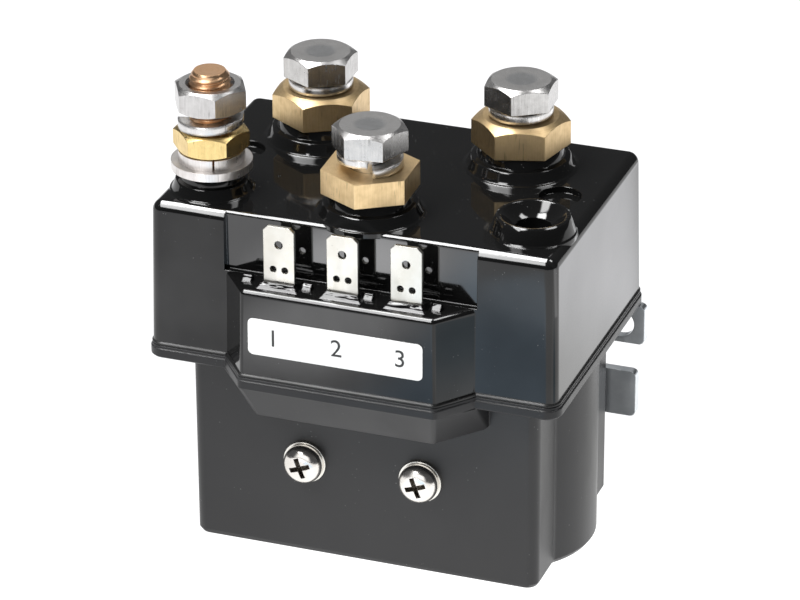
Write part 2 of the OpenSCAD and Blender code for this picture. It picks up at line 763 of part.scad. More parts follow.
// An insulated lead: an eight-sided tube along a route of points
function unit(v) = v / norm(v);
function heading(route, i) = i == 0 ? unit(route[1] - route[0])
  : i == len(route) - 1 ? unit(route[i] - route[i - 1])
  : unit(unit(route[i] - route[i - 1]) + unit(route[i + 1] - route[i]));

module lead(route) {
  rings = [for (i = [0 : len(route) - 1])
    let (d = heading(route, i), u = unit(cross(d, [0.31, 0.87, 0.38])), v = cross(d, u))
    [for (j = [0 : 7]) route[i] + lead_r * (cos(45 * j) * u + sin(45 * j) * v)]];
  skin(rings);
}

// Each coil's leads rise through the flux plate, pass the base's slot and end behind two blades
module coil_leads() {
  low_z = leg_top_z - 1.4;
  above_z = leg_top_z + 0.5;
  turn_z = deck_z - 1.7;
  turn_y = lead_slot_y + 3.3;
  rise_y = lead_slot_y + 2.3;
  rise_z = base_top_z + 1;
  end_z = [blade_foot_z - 0.5, blade_foot_z + 3.5];
  outer_end = blade_pitch - 1;
  inner_end = 1.5;
  color("firebrick") for (s = [-1, 1]) {
    lead([
      [s * (coil_x - 8.8), coil_y - 12.6, low_z - 0.1],
      [s * (outer_lead[0] + 0.5), outer_lead[1] + 0.4, low_z + 0.1],
      [s * outer_lead[0], outer_lead[1], above_z], [s * outer_lead[0], outer_lead[1], turn_z - 0.3],
      [s * outer_lead[0], turn_y, turn_z + 0.1], [s * (outer_lead[0] + 0.4), rise_y, rise_z],
      [s * outer_end, lead_y, end_z[0]], [s * outer_end, lead_y, end_z[1]]
    ]);
    lead([
      [s * (coil_x - 11.4), coil_y - 10.6, low_z - 0.1],
      [s * (inner_lead[0] + 0.4), inner_lead[1] + 0.6, low_z + 0.1],
      [s * inner_lead[0], inner_lead[1], above_z], [s * inner_lead[0], inner_lead[1], turn_z - 0.6],
      [s * inner_lead[0], turn_y, turn_z - 0.2], [s * (inner_lead[0] - 0.4), rise_y, rise_z],
      [s * inner_end, lead_y, end_z[0]], [s * inner_end, lead_y, end_z[1]]
    ]);
  }
}

// Contact works fixed in the case

// the four places of the lower tips, front and rear on each side
tip_xy = [for (s = [-1, 1], d = [-1, 1]) [s * coil_x, coil_y + d * tip_dy]];

module contact_base() {
  tip_pillar_r = 3.5;
  terminal_pillar_r = 6;
  lead_slot_x = (outer_lead[0] + inner_lead[0]) / 2 + 1;
  lead_slot_w = 9;
  half_w = cover_inner_half_w - base_gap;
  half_d = cover_inner_half_d - base_gap;
  color(NYLON) difference() {
    union() {
      translate([-half_w, -half_d, deck_z]) cube([2 * half_w, 2 * half_d, base_t]);
      for (p = tip_xy) translate([p[0], p[1], base_top_z - EPS])
        cylinder(r = tip_pillar_r, h = lower_bar_z - base_top_z + EPS);
      translate([front_terminal_x, front_row_y, base_top_z - EPS])
        cylinder(r = terminal_pillar_r, h = lower_bar_z - base_top_z + EPS);
    }
    for (s = [-1, 1]) {
      translate([s * coil_x, coil_y, deck_z - 1]) cylinder(r = rod_r + rod_gap, h = base_t + 2);
      // slot for the leads, open at the front edge and clear of the pillar in the middle
      translate([s * lead_slot_x - lead_slot_w / 2, lead_slot_y - 0.5, deck_z - 1])
        cube([lead_slot_w, lead_slot_d, base_t + 2]);
    }
  }
}

// Bars lie along X and reach over the front tips
bar_front_y = coil_y - tip_dy - tip_r;
bar_rear_y = coil_y - tip_dy + tip_r + 1;
bar_half_l = coil_x + 5;
bar_corner_r = 1;

module negative_bus() {
  arm = 6.1;
  color(COPPER) translate([0, 0, upper_bar_z]) linear_extrude(bar_t) difference() {
    union() {
      rounded_rect(stud_x - arm, bar_front_y, bar_half_l, bar_rear_y, bar_corner_r);
      rounded_rect(stud_x - arm, front_row_y - arm, stud_x + arm, bar_rear_y, bar_corner_r);
    }
    translate([stud_x, front_row_y]) circle(bolt_r);
  }
}

module positive_bus() {
  arm = 6.4;
  color(COPPER) translate([0, 0, lower_bar_z]) linear_extrude(lower_bar_t) difference() {
    union() {
      rounded_rect(-bar_half_l, bar_front_y, bar_half_l, bar_rear_y, bar_corner_r);
      rounded_rect(front_terminal_x - arm, front_row_y - arm, front_terminal_x + arm, bar_rear_y, bar_corner_r);
    }
    translate([front_terminal_x, front_row_y]) circle(bolt_r);
  }
}

// A copper strap folded to a C, with an arm above and an arm below the bridge's rear end
module motor_contact(s) {
  front = coil_y + tip_dy - tip_r - 1;
  back = cover_inner_half_d - 2.2;
  x0 = min(coil_x, rear_terminal_x) - 6;
  x1 = max(coil_x, rear_terminal_x) + 6;
  color(COPPER) difference() {
    translate([s > 0 ? x0 : -x1, 0, 0]) rotate([90, 0, 90]) linear_extrude(x1 - x0) polygon([
      [front, lower_bar_z], [back, lower_bar_z], [back, upper_bar_z + bar_t], [front, upper_bar_z + bar_t],
      [front, upper_bar_z], [back - bar_t, upper_bar_z], [back - bar_t, lower_bar_z + lower_bar_t],
      [front, lower_bar_z + lower_bar_t]
    ]);
    translate([s * rear_terminal_x, rear_terminal_y, upper_bar_z - 1]) cylinder(r = bolt_r, h = bar_t + 2);
  }
}

module left_motor_contact() motor_contact(-1);
module right_motor_contact() motor_contact(1);

module tip(x, y, z) {
  translate([x, y, z]) cylinder(r = tip_r, h = tip_h);
}

module fixed_contact_tips() {
  color(STEEL) for (p = tip_xy) {
    tip(p[0], p[1], upper_tip_z);
    tip(p[0], p[1], lower_tip_top_z - tip_h);
  }
}

// The magnet

module solenoid_frame() {
  depth = inner_rear_y - inner_front_y;
  color(STEEL) difference() {
    union() {
      translate([-frame_half_w, inner_front_y, side_wall]) cube([2 * frame_half_w, depth, frame_t]);
      for (y = [inner_front_y, inner_rear_y - frame_t])
        translate([-frame_half_w, y, side_wall]) cube([2 * frame_half_w, frame_t, leg_top_z - side_wall]);
    }
    for (s = [-1, 1]) {
      translate([s * coil_x, coil_y, side_wall - 1]) cylinder(r = core_tail_r, h = frame_t + 2);
      translate([s * screw_x, inner_front_y - 1, screw_z]) rotate([-90, 0, 0])
        cylinder(r = m4_r, h = depth + 2);
    }
  }
}

module flux_plate() {
  color(STEEL) translate([0, 0, leg_top_z]) linear_extrude(flux_t) difference() {
    rounded_rect(-frame_half_w, inner_front_y, frame_half_w, inner_rear_y, 1);
    for (s = [-1, 1]) {
      translate([s * coil_x, coil_y]) circle(bobbin_r);
      for (p = [outer_lead, inner_lead]) translate([s * p[0], p[1]]) circle(lead_hole_r);
    }
  }
}

module bobbin(s) {
  h = leg_top_z - bobbin_z;
  color(NYLON) translate([s * coil_x, coil_y, bobbin_z]) rotate_extrude() polygon([
    [bobbin_r, 0], [flange_r, 0], [flange_r, flange_t], [tube_r, flange_t],
    [tube_r, h - flange_t], [flange_r, h - flange_t], [flange_r, h], [bobbin_r, h]
  ]);
}

module left_bobbin() bobbin(-1);
module right_bobbin() bobbin(1);

module winding(s) {
  color(COPPER) translate([s * coil_x, coil_y, bobbin_z + flange_t])
    ring(tube_r, winding_r, leg_top_z - bobbin_z - 2 * flange_t);
}

module left_winding() winding(-1);
module right_winding() winding(1);

module core(s) {
  color(STEEL) translate([s * coil_x, coil_y, 0]) difference() {
    union() {
      translate([0, 0, side_wall]) cylinder(r = core_tail_r, h = frame_t + EPS);
      translate([0, 0, bobbin_z]) cylinder(r = bobbin_r - core_gap, h = core_top_z - bobbin_z);
    }
    translate([0, 0, core_top_z - core_pocket_depth]) cylinder(r = spring_pocket_r, h = core_pocket_depth + 1);
  }
}

module left_core() core(-1);
module right_core() core(1);

module return_spring(s) {
  h = core_pocket_depth + pole_gap + plunger_pocket_depth;
  color(STEEL) translate([s * coil_x, coil_y, core_top_z - core_pocket_depth]) coil_spring(2.9, 0.4, h, 6);
}

module left_return_spring() return_spring(-1);
module right_return_spring() return_spring(1);

// The moving works of one coil

module plunger(s) {
  r = bobbin_r - plunger_gap;
  chamfer = 0.5;
  color(STEEL) translate([s * coil_x, coil_y, 0]) difference() {
    rotate_extrude() polygon([
      [0, plunger_z], [r - chamfer, plunger_z], [r, plunger_z + chamfer],
      [r, plunger_top_z - chamfer], [r - chamfer, plunger_top_z], [0, plunger_top_z]
    ]);
    translate([0, 0, plunger_z - 1]) cylinder(r = spring_pocket_r, h = plunger_pocket_depth + 1);
    translate([0, 0, rod_foot_z]) cylinder(r = rod_r, h = plunger_top_z - rod_foot_z + 1);
  }
}

module left_plunger() plunger(-1);
module right_plunger() plunger(1);

module push_rod(s) {
  color(STEEL) translate([s * coil_x, coil_y, rod_foot_z]) cylinder(r = rod_r, h = rod_top_z - rod_foot_z);
}

module left_push_rod() push_rod(-1);
module right_push_rod() push_rod(1);

module contact_bridge(s) {
  half_l = tip_dy + tip_r + 0.6;
  half_w = tip_r + 0.6;
  eye_r = 6;
  color(COPPER) translate([s * coil_x, coil_y, bridge_z]) linear_extrude(bridge_t) difference() {
    union() {
      rounded_rect(-half_w, -half_l, half_w, half_l, 1);
      circle(eye_r);
    }
    circle(bush_r);
  }
}

module left_contact_bridge() contact_bridge(-1);
module right_contact_bridge() contact_bridge(1);

module moving_tips(s) {
  color(STEEL) for (d = [-1, 1], z = [bridge_z - tip_h, bridge_z + bridge_t])
    tip(s * coil_x, coil_y + d * tip_dy, z);
}

module left_moving_tips() moving_tips(-1);
module right_moving_tips() moving_tips(1);

// A flanged bush that insulates the bridge from the rod
module bridge_bush(s) {
  h = bush_flange_t + bridge_t;
  color(NYLON) translate([s * coil_x, coil_y, bridge_z - bush_flange_t]) rotate_extrude() polygon([
    [rod_r, 0], [bush_flange_r, 0], [bush_flange_r, bush_flange_t],
    [bush_r, bush_flange_t], [bush_r, h], [rod_r, h]
  ]);
}

module left_bridge_bush() bridge_bush(-1);
module right_bridge_bush() bridge_bush(1);

// One contact spring below the bush and one above the bridge
module contact_springs(s) {
  below_z = seat_z + clip_t;
  above_z = bridge_z + bridge_t;
  color(STEEL) translate([s * coil_x, coil_y, 0]) {
    translate([0, 0, below_z]) coil_spring(2.9, 0.45, bridge_z - bush_flange_t - below_z, 3);
    translate([0, 0, above_z]) coil_spring(3.75, 0.45, top_clip_z - above_z, 4);
  }
}

module left_contact_springs() contact_springs(-1);
module right_contact_springs() contact_springs(1);

module rod_clips(s) {
  color(STEEL) translate([s * coil_x, coil_y, 0]) {
    for (z = [seat_z, top_clip_z]) translate([0, 0, z]) ring(rod_r, clip_r, clip_t);
  }
}

module left_rod_clips() rod_clips(-1);
module right_rod_clips() rod_clips(1);

lower_housing();
upper_cover();
front_label();
mounting_bracket();
front_screws();
front_screw_washers();
bracket_screws();
bracket_screw_washers();
left_motor_terminal();
right_motor_terminal();
positive_terminal();
terminal_bolts();
terminal_lock_washers();
negative_stud();
stud_flat_washer();
stud_lower_lock_washer();
stud_brass_nut();
stud_upper_lock_washer();
stud_steel_nut();
left_coil_blade();
common_coil_blade();
right_coil_blade();
coil_leads();
contact_base();
negative_bus();
positive_bus();
left_motor_contact();
right_motor_contact();
fixed_contact_tips();
solenoid_frame();
flux_plate();
left_bobbin();
right_bobbin();
left_winding();
right_winding();
left_core();
right_core();
left_return_spring();
right_return_spring();
left_plunger();
right_plunger();
left_push_rod();
right_push_rod();
left_contact_bridge();
right_contact_bridge();
left_moving_tips();
right_moving_tips();
left_bridge_bush();
right_bridge_bush();
left_contact_springs();
right_contact_springs();
left_rod_clips();
right_rod_clips();
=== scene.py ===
"""Looks of a reversing winch contactor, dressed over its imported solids.

Metres throughout. +X is to the right seen from the front, -Y is the front, +Z is up from the flat bottom.
The coil blades stand on the front ledge, the bracket is bolted to the back.
"""

import json
import math

import bmesh
import bpy
from mathutils import Matrix, Vector

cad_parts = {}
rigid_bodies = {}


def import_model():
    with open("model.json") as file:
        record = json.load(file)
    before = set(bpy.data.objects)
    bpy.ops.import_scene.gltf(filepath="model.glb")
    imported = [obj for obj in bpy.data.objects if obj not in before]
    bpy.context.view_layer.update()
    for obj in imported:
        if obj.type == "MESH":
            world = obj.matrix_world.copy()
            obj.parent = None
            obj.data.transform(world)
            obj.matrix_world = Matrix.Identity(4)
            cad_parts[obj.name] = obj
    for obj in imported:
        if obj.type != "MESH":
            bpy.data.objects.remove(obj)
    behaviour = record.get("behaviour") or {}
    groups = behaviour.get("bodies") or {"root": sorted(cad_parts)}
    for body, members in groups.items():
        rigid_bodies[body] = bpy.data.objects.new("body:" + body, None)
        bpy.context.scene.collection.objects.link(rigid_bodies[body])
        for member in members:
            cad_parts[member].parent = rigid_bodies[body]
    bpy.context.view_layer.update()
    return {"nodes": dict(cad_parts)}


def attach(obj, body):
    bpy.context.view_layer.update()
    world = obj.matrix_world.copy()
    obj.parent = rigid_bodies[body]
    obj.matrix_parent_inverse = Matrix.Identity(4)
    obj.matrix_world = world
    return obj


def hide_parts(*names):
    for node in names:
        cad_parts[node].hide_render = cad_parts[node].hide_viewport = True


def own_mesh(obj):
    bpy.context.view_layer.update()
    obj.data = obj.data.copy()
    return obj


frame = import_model()
NODES = frame["nodes"]
MM = 0.001

# Heights of the cover, and where its panel, its feet and the skirt of the housing begin towards the front
COVER_TOP = 75.7 * MM
COVER_LIP_TOP = 45.7 * MM
LEDGE_TOP = 63.5 * MM
PANEL_Y = -26.4 * MM
FOOT_Y = -28.5 * MM
SKIRT_Y = -21.0 * MM

# The copper stud
STUD_AXIS = Vector((-32.4, -17.0, 0.0)) * MM
STUD_SEAT = 62.7 * MM
STUD_TOP = 100.5 * MM
THREAD_ROWS = 300

# The three bolted terminals, and the dimple in each bolt head
REAR_LEFT_AXIS = Vector((-21.0, 13.0, 0.0)) * MM
REAR_RIGHT_AXIS = Vector((21.0, 13.0, 0.0)) * MM
FRONT_AXIS = Vector((0.5, -17.0, 0.0)) * MM
DIMPLE_R = 3.3 * MM

# The springs that push the two plungers up
COIL_X, COIL_Y = 22.5 * MM, 2.0 * MM
SPRING_R, SPRING_WIRE_R = 2.9 * MM, 0.4 * MM
SPRING_FOOT, SPRING_HEIGHT = 13.0 * MM, 13.6 * MM

# The pan-head screws stand equally far before and behind a middle plane. The dome of each head falls from
# its crown with the square of the radius.
SCREW_X, SCREW_Z, SCREW_CROSS = 12.15 * MM, 20.6 * MM, 2.25 * MM
SCREW_MIDDLE = 3.0 * MM
SCREW_CROWN = 27.9 * MM
SCREW_DOME_FALL = -37.0

# The label leans back with the front of the ledge
LABEL_FOOT = Vector((-0.3, -35.3, 45.0)) * MM
LABEL_LEAN = 0.98776
LABEL_MIDDLE = 9.2 * MM
LABEL_FACE = 0.17 * MM
DIGIT_PLACES = (("1", -12.7), ("2", 0.3), ("3", 13.3))
DIGIT_SIZE, DIGIT_DEPTH = 5.1 * MM, 0.01 * MM

# Moulding marks on top of the cover
GATE_MARKS = ((-30.4, -24.9), (-21.9, -8.2), (-2.2, 16.5))
GATE_MARK_R = 0.35 * MM

# Welding of loose triangles. Slivers between the facets of the round coil walls need a wider reach.
FINE_WELD, CLOSE_WELD = 0.001 * MM, 0.002 * MM
WIDER_WELD = {"lower_housing": 0.1 * MM}

# Angles in degrees up to which facets are shaded smooth: on solids, on pieces of this scene and on digits
SOLID_CREASE, PIECE_CREASE, DIGIT_CREASE = 28, 40, 20

# Camera, as fitted to the photograph
VIEW_AZIMUTH = 19.653
VIEW_ELEVATION = 26.624
VIEW_ROLL = -0.123
VIEW_DISTANCE = 0.894717
VIEW_TARGET = Vector((6.15, 0.0, 45.95)) * MM
VIEW_SHIFT = (-0.03508, 0.01884)
LENS, SENSOR = 202.5, 36.0
NEAR_CLIP = 10 * MM

# Ranges of a mask
GROW, FADE = (0.0, 1.0), (1.0, 0.0)

# Kinds of node sockets, and the kind that goes with each type of default
VALUE, VECTOR, GEOMETRY = "NodeSocketFloat", "NodeSocketVector", "NodeSocketGeometry"
SOCKET_KINDS = {float: VALUE, int: "NodeSocketInt", tuple: VECTOR}


# Helpers for node trees

def link(tree, source, target):
    """Links two sockets."""
    tree.links.new(source, target)


def feed(tree, socket, value):
    """Links value to the socket where value is a socket, or sets it."""
    if isinstance(value, bpy.types.NodeSocket):
        tree.links.new(value, socket)
    elif value is not None:
        socket.default_value = value


def new_node(tree, kind, output, settings=None, **sockets):
    """A node with its settings and the values of its sockets. Returns one of its outputs."""
    node = tree.nodes.new(kind)
    for name, value in (settings or {}).items():
        setattr(node, name, value)
    for label, value in sockets.items():
        feed(tree, node.inputs[label.replace("_", " ")], value)
    return node.outputs[output]


def math_node(tree, operation, a, b=None, c=None, clamp=False):
    """A Math node's output."""
    node = tree.nodes.new("ShaderNodeMath")
    node.operation = operation
    node.use_clamp = clamp
    for socket, value in zip(node.inputs, (a, b, c)):
        feed(tree, socket, value)
    return node.outputs[0]


def vector_math(tree, operation, a, b=None):
    """A Vector Math node's output."""
    node = tree.nodes.new("ShaderNodeVectorMath")
    node.operation = operation
    feed(tree, node.inputs[0], a)
    feed(tree, node.inputs[1], b)
    return node.outputs["Value" if operation in ("LENGTH", "DOT_PRODUCT") else "Vector"]


def axes(tree, vector):
    """The X, Y and Z of a vector."""
    node = tree.nodes.new("ShaderNodeSeparateXYZ")
    link(tree, vector, node.inputs[0])
    return node.outputs


def combined(tree, x=0.0, y=0.0, z=0.0):
    """A vector made of three values."""
    return new_node(tree, "ShaderNodeCombineXYZ", 0, X=x, Y=y, Z=z)


def remap(tree, value, from_range, to_range=GROW, smooth=False):
    """A Map Range node's output, clamped."""
    node = tree.nodes.new("ShaderNodeMapRange")
    node.interpolation_type = "SMOOTHSTEP" if smooth else "LINEAR"
    feed(tree, node.inputs["Value"], value)
    for name, number in zip(("From Min", "From Max", "To Min", "To Max"), (*from_range, *to_range)):
        feed(tree, node.inputs[name], number)
    return node.outputs["Result"]


def vary(tree, mask, plain, marked):
    """A value that goes from one number to another with a mask."""
    return math_node(tree, "MULTIPLY_ADD", mask, marked - plain, plain)


def opaque(colour):
    """A colour with full alpha. A socket stays as it is."""
    return (*colour, 1.0) if isinstance(colour, tuple) else colour


def shade(colour, share):
    """A colour at a share of its strength."""
    return tuple(share * value for value in colour)


def mix_colour(tree, factor, a, b, blend="MIX"):
    """A colour Mix node's output."""
    node = tree.nodes.new("ShaderNodeMix")
    node.data_type = "RGBA"
    node.blend_type = blend
    feed(tree, node.inputs[0], factor)
    feed(tree, node.inputs[6], opaque(a))
    feed(tree, node.inputs[7], opaque(b))
    return node.outputs[2]


def mix_value(tree, factor, a, b):
    """A value Mix node's output."""
    node = tree.nodes.new("ShaderNodeMix")
    for socket, value in zip((node.inputs[0], node.inputs[2], node.inputs[3]), (factor, a, b)):
        feed(tree, socket, value)
    return node.outputs[0]


def noise(tree, vector, scale, detail=2.0, roughness=0.5):
    """A Noise Texture's value."""
    return new_node(tree, "ShaderNodeTexNoise", "Fac",
                    Vector=vector, Scale=scale, Detail=detail, Roughness=roughness)


def place(tree):
    """Object coordinates."""
    return tree.nodes.new("ShaderNodeTexCoord").outputs["Object"]


def facing(tree):
    """The normal of the face."""
    return tree.nodes.new("ShaderNodeNewGeometry").outputs["Normal"]


def scaled(tree, vector, scale):
    """A vector stretched along its axes."""
    return vector_math(tree, "MULTIPLY", vector, scale)


def new_group(name, kind, inputs, outputs):
    """A node group, each input given by its default or kind. Returns its tree, inputs and output node."""
    tree = bpy.data.node_groups.new(name, kind)
    for label, value in inputs.items():
        by_kind = isinstance(value, str)
        socket_kind = value if by_kind else SOCKET_KINDS[type(value)]
        socket = tree.interface.new_socket(label, in_out="INPUT", socket_type=socket_kind)
        if not by_kind:
            socket.default_value = value
    for label, socket_kind in outputs.items():
        tree.interface.new_socket(label, in_out="OUTPUT", socket_type=socket_kind)
    entry, out = tree.nodes.new("NodeGroupInput"), tree.nodes.new("NodeGroupOutput")
    return tree, {socket.name: socket for socket in entry.outputs if socket.name}, out


def give(tree, out, **results):
    """Links results to the outputs of a node group. Returns its tree."""
    for label, source in results.items():
        link(tree, source, out.inputs[label])
    return tree


# Effects that several finishes share

# Each pattern is noise at a scale, drawn out along an axis, that shows between two of its levels
FLOW_LEVELS = (0.3, 0.7)

# Tool marks. How closely the streaks lie goes with the pitch.
LEVEL_FACING = (0.6, 0.9)
STREAK_PACE, STREAK_DRAW, STREAK_LEVELS = 0.35, (1.0, 1.0, 0.05), (0.7, 1.3)
SCORE_SCALE, SCORE_DRAW, SCORE_LEVELS = 2600.0, (1.0, 1.0, 0.08), (0.60, 0.68)
BLOTCH_SCALE = 700.0
SCORED_SCALE, SCORED_LEVELS = 260.0, (0.46, 0.58)

# Smears, and specks in dusty spots
SMEAR_DRAW, SMEAR_LEVELS = (1.0, 1.0, 0.4), (0.45, 0.75)
DUSTY_SCALE, DUSTY_LEVELS = 300.0, (0.6, 0.68)
SPECK_REACH = (0.06, 0.14)


def make_edge_round():
    """Rounded sharp edges for the shading: Normal, and Edge, which is 1 on an edge and 0 on a flat face."""
    tree, given, out = new_group(
        "edge_round", "ShaderNodeTree", {"Radius": 0.2 * MM, "Reach": 6.0},
        {"Normal": VECTOR, "Edge": VALUE})
    rounded = new_node(tree, "ShaderNodeBevel", "Normal", {"samples": 6}, Radius=given["Radius"])
    turned = vector_math(tree, "DOT_PRODUCT", rounded, facing(tree))
    edge = math_node(tree, "MULTIPLY", math_node(tree, "SUBTRACT", 1.0, turned), given["Reach"], clamp=True)
    return give(tree, out, Normal=rounded, Edge=edge)


def make_moulded_grain():
    """Fine spark-eroded grain and faint flow of a moulded plastic: Height, and Tone from 0 to 1."""
    tree, given, out = new_group(
        "moulded_grain", "ShaderNodeTree", {"Grain Scale": 3000.0, "Flow Scale": 60.0},
        {"Height": VALUE, "Tone": VALUE})
    at = place(tree)
    grain = noise(tree, at, given["Grain Scale"], 3.0, 0.65)
    flow = noise(tree, at, given["Flow Scale"], 3.0, 0.5)
    return give(tree, out, Height=grain, Tone=remap(tree, flow, FLOW_LEVELS))


def make_turned_lines():
    """Tool marks of a metal bar, from 0 to 1, with Level, which is 1 on level faces.

    Height has rings round an axis on level faces and fine streaks down upright ones, Streak adds blotches,
    and Nick has a few scores down upright faces.
    """
    tree, given, out = new_group(
        "turned_lines", "ShaderNodeTree", {"Centre": (0.0, 0.0, 0.0), "Pitch": 0.12 * MM},
        {"Height": VALUE, "Streak": VALUE, "Level": VALUE, "Nick": VALUE})
    at = vector_math(tree, "SUBTRACT", place(tree), given["Centre"])
    from_axis = vector_math(tree, "LENGTH", scaled(tree, at, (1.0, 1.0, 0.0)))
    level = remap(tree, math_node(tree, "ABSOLUTE", axes(tree, facing(tree))["Z"]), LEVEL_FACING)
    rings = new_node(tree, "ShaderNodeTexNoise", "Fac", {"noise_dimensions": "1D"},
                     W=math_node(tree, "DIVIDE", from_axis, given["Pitch"]), Scale=1.0, Detail=3.0)
    drawn = noise(tree, scaled(tree, at, STREAK_DRAW),
                  math_node(tree, "DIVIDE", STREAK_PACE, given["Pitch"]), 3.0, 0.6)
    marks = mix_value(tree, level, drawn, rings)
    blotch = noise(tree, place(tree), BLOTCH_SCALE, 3.0)
    streak = remap(tree, math_node(tree, "ADD", marks, blotch), STREAK_LEVELS)
    scores = remap(tree, noise(tree, scaled(tree, at, SCORE_DRAW), SCORE_SCALE, 2.0), SCORE_LEVELS)
    scored = remap(tree, noise(tree, place(tree), SCORED_SCALE, 1.0), SCORED_LEVELS)
    upright = math_node(tree, "SUBTRACT", 1.0, level)
    nick = math_node(tree, "MULTIPLY", scores, math_node(tree, "MULTIPLY", scored, upright))
    return give(tree, out, Height=marks, Streak=streak, Level=level, Nick=nick)


def make_handling():
    """Dust specks and dull smears from handling: Smear and Speck, from 0 to 1."""
    tree, given, out = new_group(
        "handling", "ShaderNodeTree", {"Smear Scale": 90.0, "Speck Scale": 900.0},
        {"Smear": VALUE, "Speck": VALUE})
    at = place(tree)
    smear = noise(tree, scaled(tree, at, SMEAR_DRAW), given["Smear Scale"], 4.0, 0.6)
    spots = new_node(tree, "ShaderNodeTexVoronoi", "Distance", Vector=at, Scale=given["Speck Scale"])
    dusty = remap(tree, noise(tree, at, DUSTY_SCALE, 1.0), DUSTY_LEVELS)
    speck = math_node(tree, "MULTIPLY", remap(tree, spots, SPECK_REACH, FADE), dusty)
    return give(tree, out, Smear=remap(tree, smear, SMEAR_LEVELS, smooth=True), Speck=speck)


EDGE_ROUND = make_edge_round()
MOULDED_GRAIN = make_moulded_grain()
TURNED_LINES = make_turned_lines()
HANDLING = make_handling()


# Finishes

class Finish:
    """A material with one Principled BSDF, and short ways to feed it."""

    def __init__(self, name, colour, roughness, metallic=0.0, **sockets):
        self.material = bpy.data.materials.new(name)
        self.material.use_nodes = True
        self.tree = self.material.node_tree
        self.shader = self.tree.nodes["Principled BSDF"]
        self.set("Base Color", opaque(colour))
        self.set("Roughness", roughness)
        self.set("Metallic", metallic)
        for label, value in sockets.items():
            self.set(label.replace("_", " "), value)

    def set(self, label, value):
        """Links or sets an input of the shader."""
        feed(self.tree, self.shader.inputs[label], value)

    def tint(self, factor, colour, blend="MIX"):
        """The base colour so far, mixed with another."""
        plain = self.shader.inputs["Base Color"].links[0].from_socket
        return mix_colour(self.tree, factor, plain, colour, blend)

    def group(self, tree, **values):
        """The outputs of a shared effect with its own values."""
        node = self.tree.nodes.new("ShaderNodeGroup")
        node.node_tree = tree
        for label, value in values.items():
            feed(self.tree, node.inputs[label.replace("_", " ")], value)
        return node.outputs

    def bump(self, height, strength, distance, normal):
        """Bumps the surface on top of a normal."""
        self.set("Normal", new_node(
            self.tree, "ShaderNodeBump", "Normal",
            Strength=strength, Distance=distance, Height=height, Normal=normal))


# The cover: its colours, its gloss from clean to smeared, how dull specks are, its satin lip, its clouded
# shine, its bright panel and its uneven feet
COVER_BLACK, COVER_DUST = (0.004, 0.004, 0.004), (0.10, 0.10, 0.10)
COVER_ROUGHNESS, SPECK_DULLNESS = (0.06, 0.11), 0.3
LIP_RIM, LIP_DULLNESS = (COVER_LIP_TOP, COVER_LIP_TOP + 0.4 * MM), 0.34
CLOUD_SCALE, CLEAR_SHINE, CLOUDY_SHINE = 45.0, 0.39, 0.61
PANEL_RIM, PANEL_SHINE = (0.2 * MM, 0.4 * MM), 0.5
PANEL_FOOT = (LEDGE_TOP + 0.2 * MM, LEDGE_TOP + 0.6 * MM)
FOOT_RISE, FOOT_BACK = (LEDGE_TOP + 0.1 * MM, LEDGE_TOP + 0.5 * MM), (FOOT_Y - 0.4 * MM, FOOT_Y)
FOOT_DRAW, FOOT_SCALE, FOOT_UNEVEN, FOOT_DEPTH = (0.35, 1.0, 1.6), 600.0, 0.7, 1.2 * MM


def glossy_cover():
    """Near-black thermoset with a mirror gloss, a faint orange peel and dust, and a satin lip below."""
    f = Finish("cover_gloss_black", COVER_BLACK, 0.07, IOR=1.5)
    tree = f.tree
    edge = f.group(EDGE_ROUND, Radius=0.28 * MM, Reach=4.0)
    grain = f.group(MOULDED_GRAIN, Grain_Scale=420.0)
    wear = f.group(HANDLING, Smear_Scale=70.0, Speck_Scale=1100.0)
    f.set("Base Color", mix_colour(tree, wear["Speck"], COVER_BLACK, COVER_DUST))
    at = axes(tree, place(tree))
    lip = remap(tree, at["Z"], LIP_RIM, (LIP_DULLNESS, 0.0))
    dull = math_node(tree, "ADD", vary(tree, wear["Smear"], *COVER_ROUGHNESS), lip)
    f.set("Roughness", math_node(tree, "MULTIPLY_ADD", wear["Speck"], SPECK_DULLNESS, dull))
    # the sunk panel behind the blades has the brightest shine
    off_panel = math_node(tree, "ABSOLUTE", math_node(tree, "SUBTRACT", at["Y"], PANEL_Y))
    panel = remap(tree, off_panel, PANEL_RIM, (PANEL_SHINE, 0.0))
    over_ledge = remap(tree, at["Z"], PANEL_FOOT)
    cloud = remap(tree, noise(tree, place(tree), CLOUD_SCALE, 3.0, 0.5), FLOW_LEVELS)
    shine = vary(tree, cloud, CLEAR_SHINE, CLOUDY_SHINE)
    f.set("Specular IOR Level", math_node(tree, "MULTIPLY_ADD", panel, over_ledge, shine))
    # the feet and nubs on the ledge are softly uneven
    foot = remap(tree, at["Z"], FOOT_RISE, (0.0, FOOT_UNEVEN))
    foot = math_node(tree, "MULTIPLY", foot, remap(tree, at["Y"], FOOT_BACK, FADE))
    uneven = new_node(
        tree, "ShaderNodeBump", "Normal", Strength=foot, Distance=FOOT_DEPTH, Normal=edge["Normal"],
        Height=noise(tree, scaled(tree, place(tree), FOOT_DRAW), FOOT_SCALE, 1.0))
    f.bump(grain["Height"], 0.06, 0.04 * MM, uneven)
    return f


# The housing: its colours, its gloss from clean to smeared, how strongly a painted highlight lightens its
# edges, and its skirt
HOUSING_DARK, HOUSING_LIGHT = (0.012, 0.012, 0.013), (0.016, 0.016, 0.017)
HOUSING_PAINTED_EDGE_LIGHT, HOUSING_DUST = (0.04, 0.04, 0.042), (0.13, 0.13, 0.13)
HOUSING_ROUGHNESS, PAINTED_EDGE_SHARE = (0.38, 0.46), 0.5
SKIRT_RIM, SKIRT_SHINE, WALL_SHINE = (SKIRT_Y - 0.6 * MM, SKIRT_Y - 0.2 * MM), 0.36, 0.5


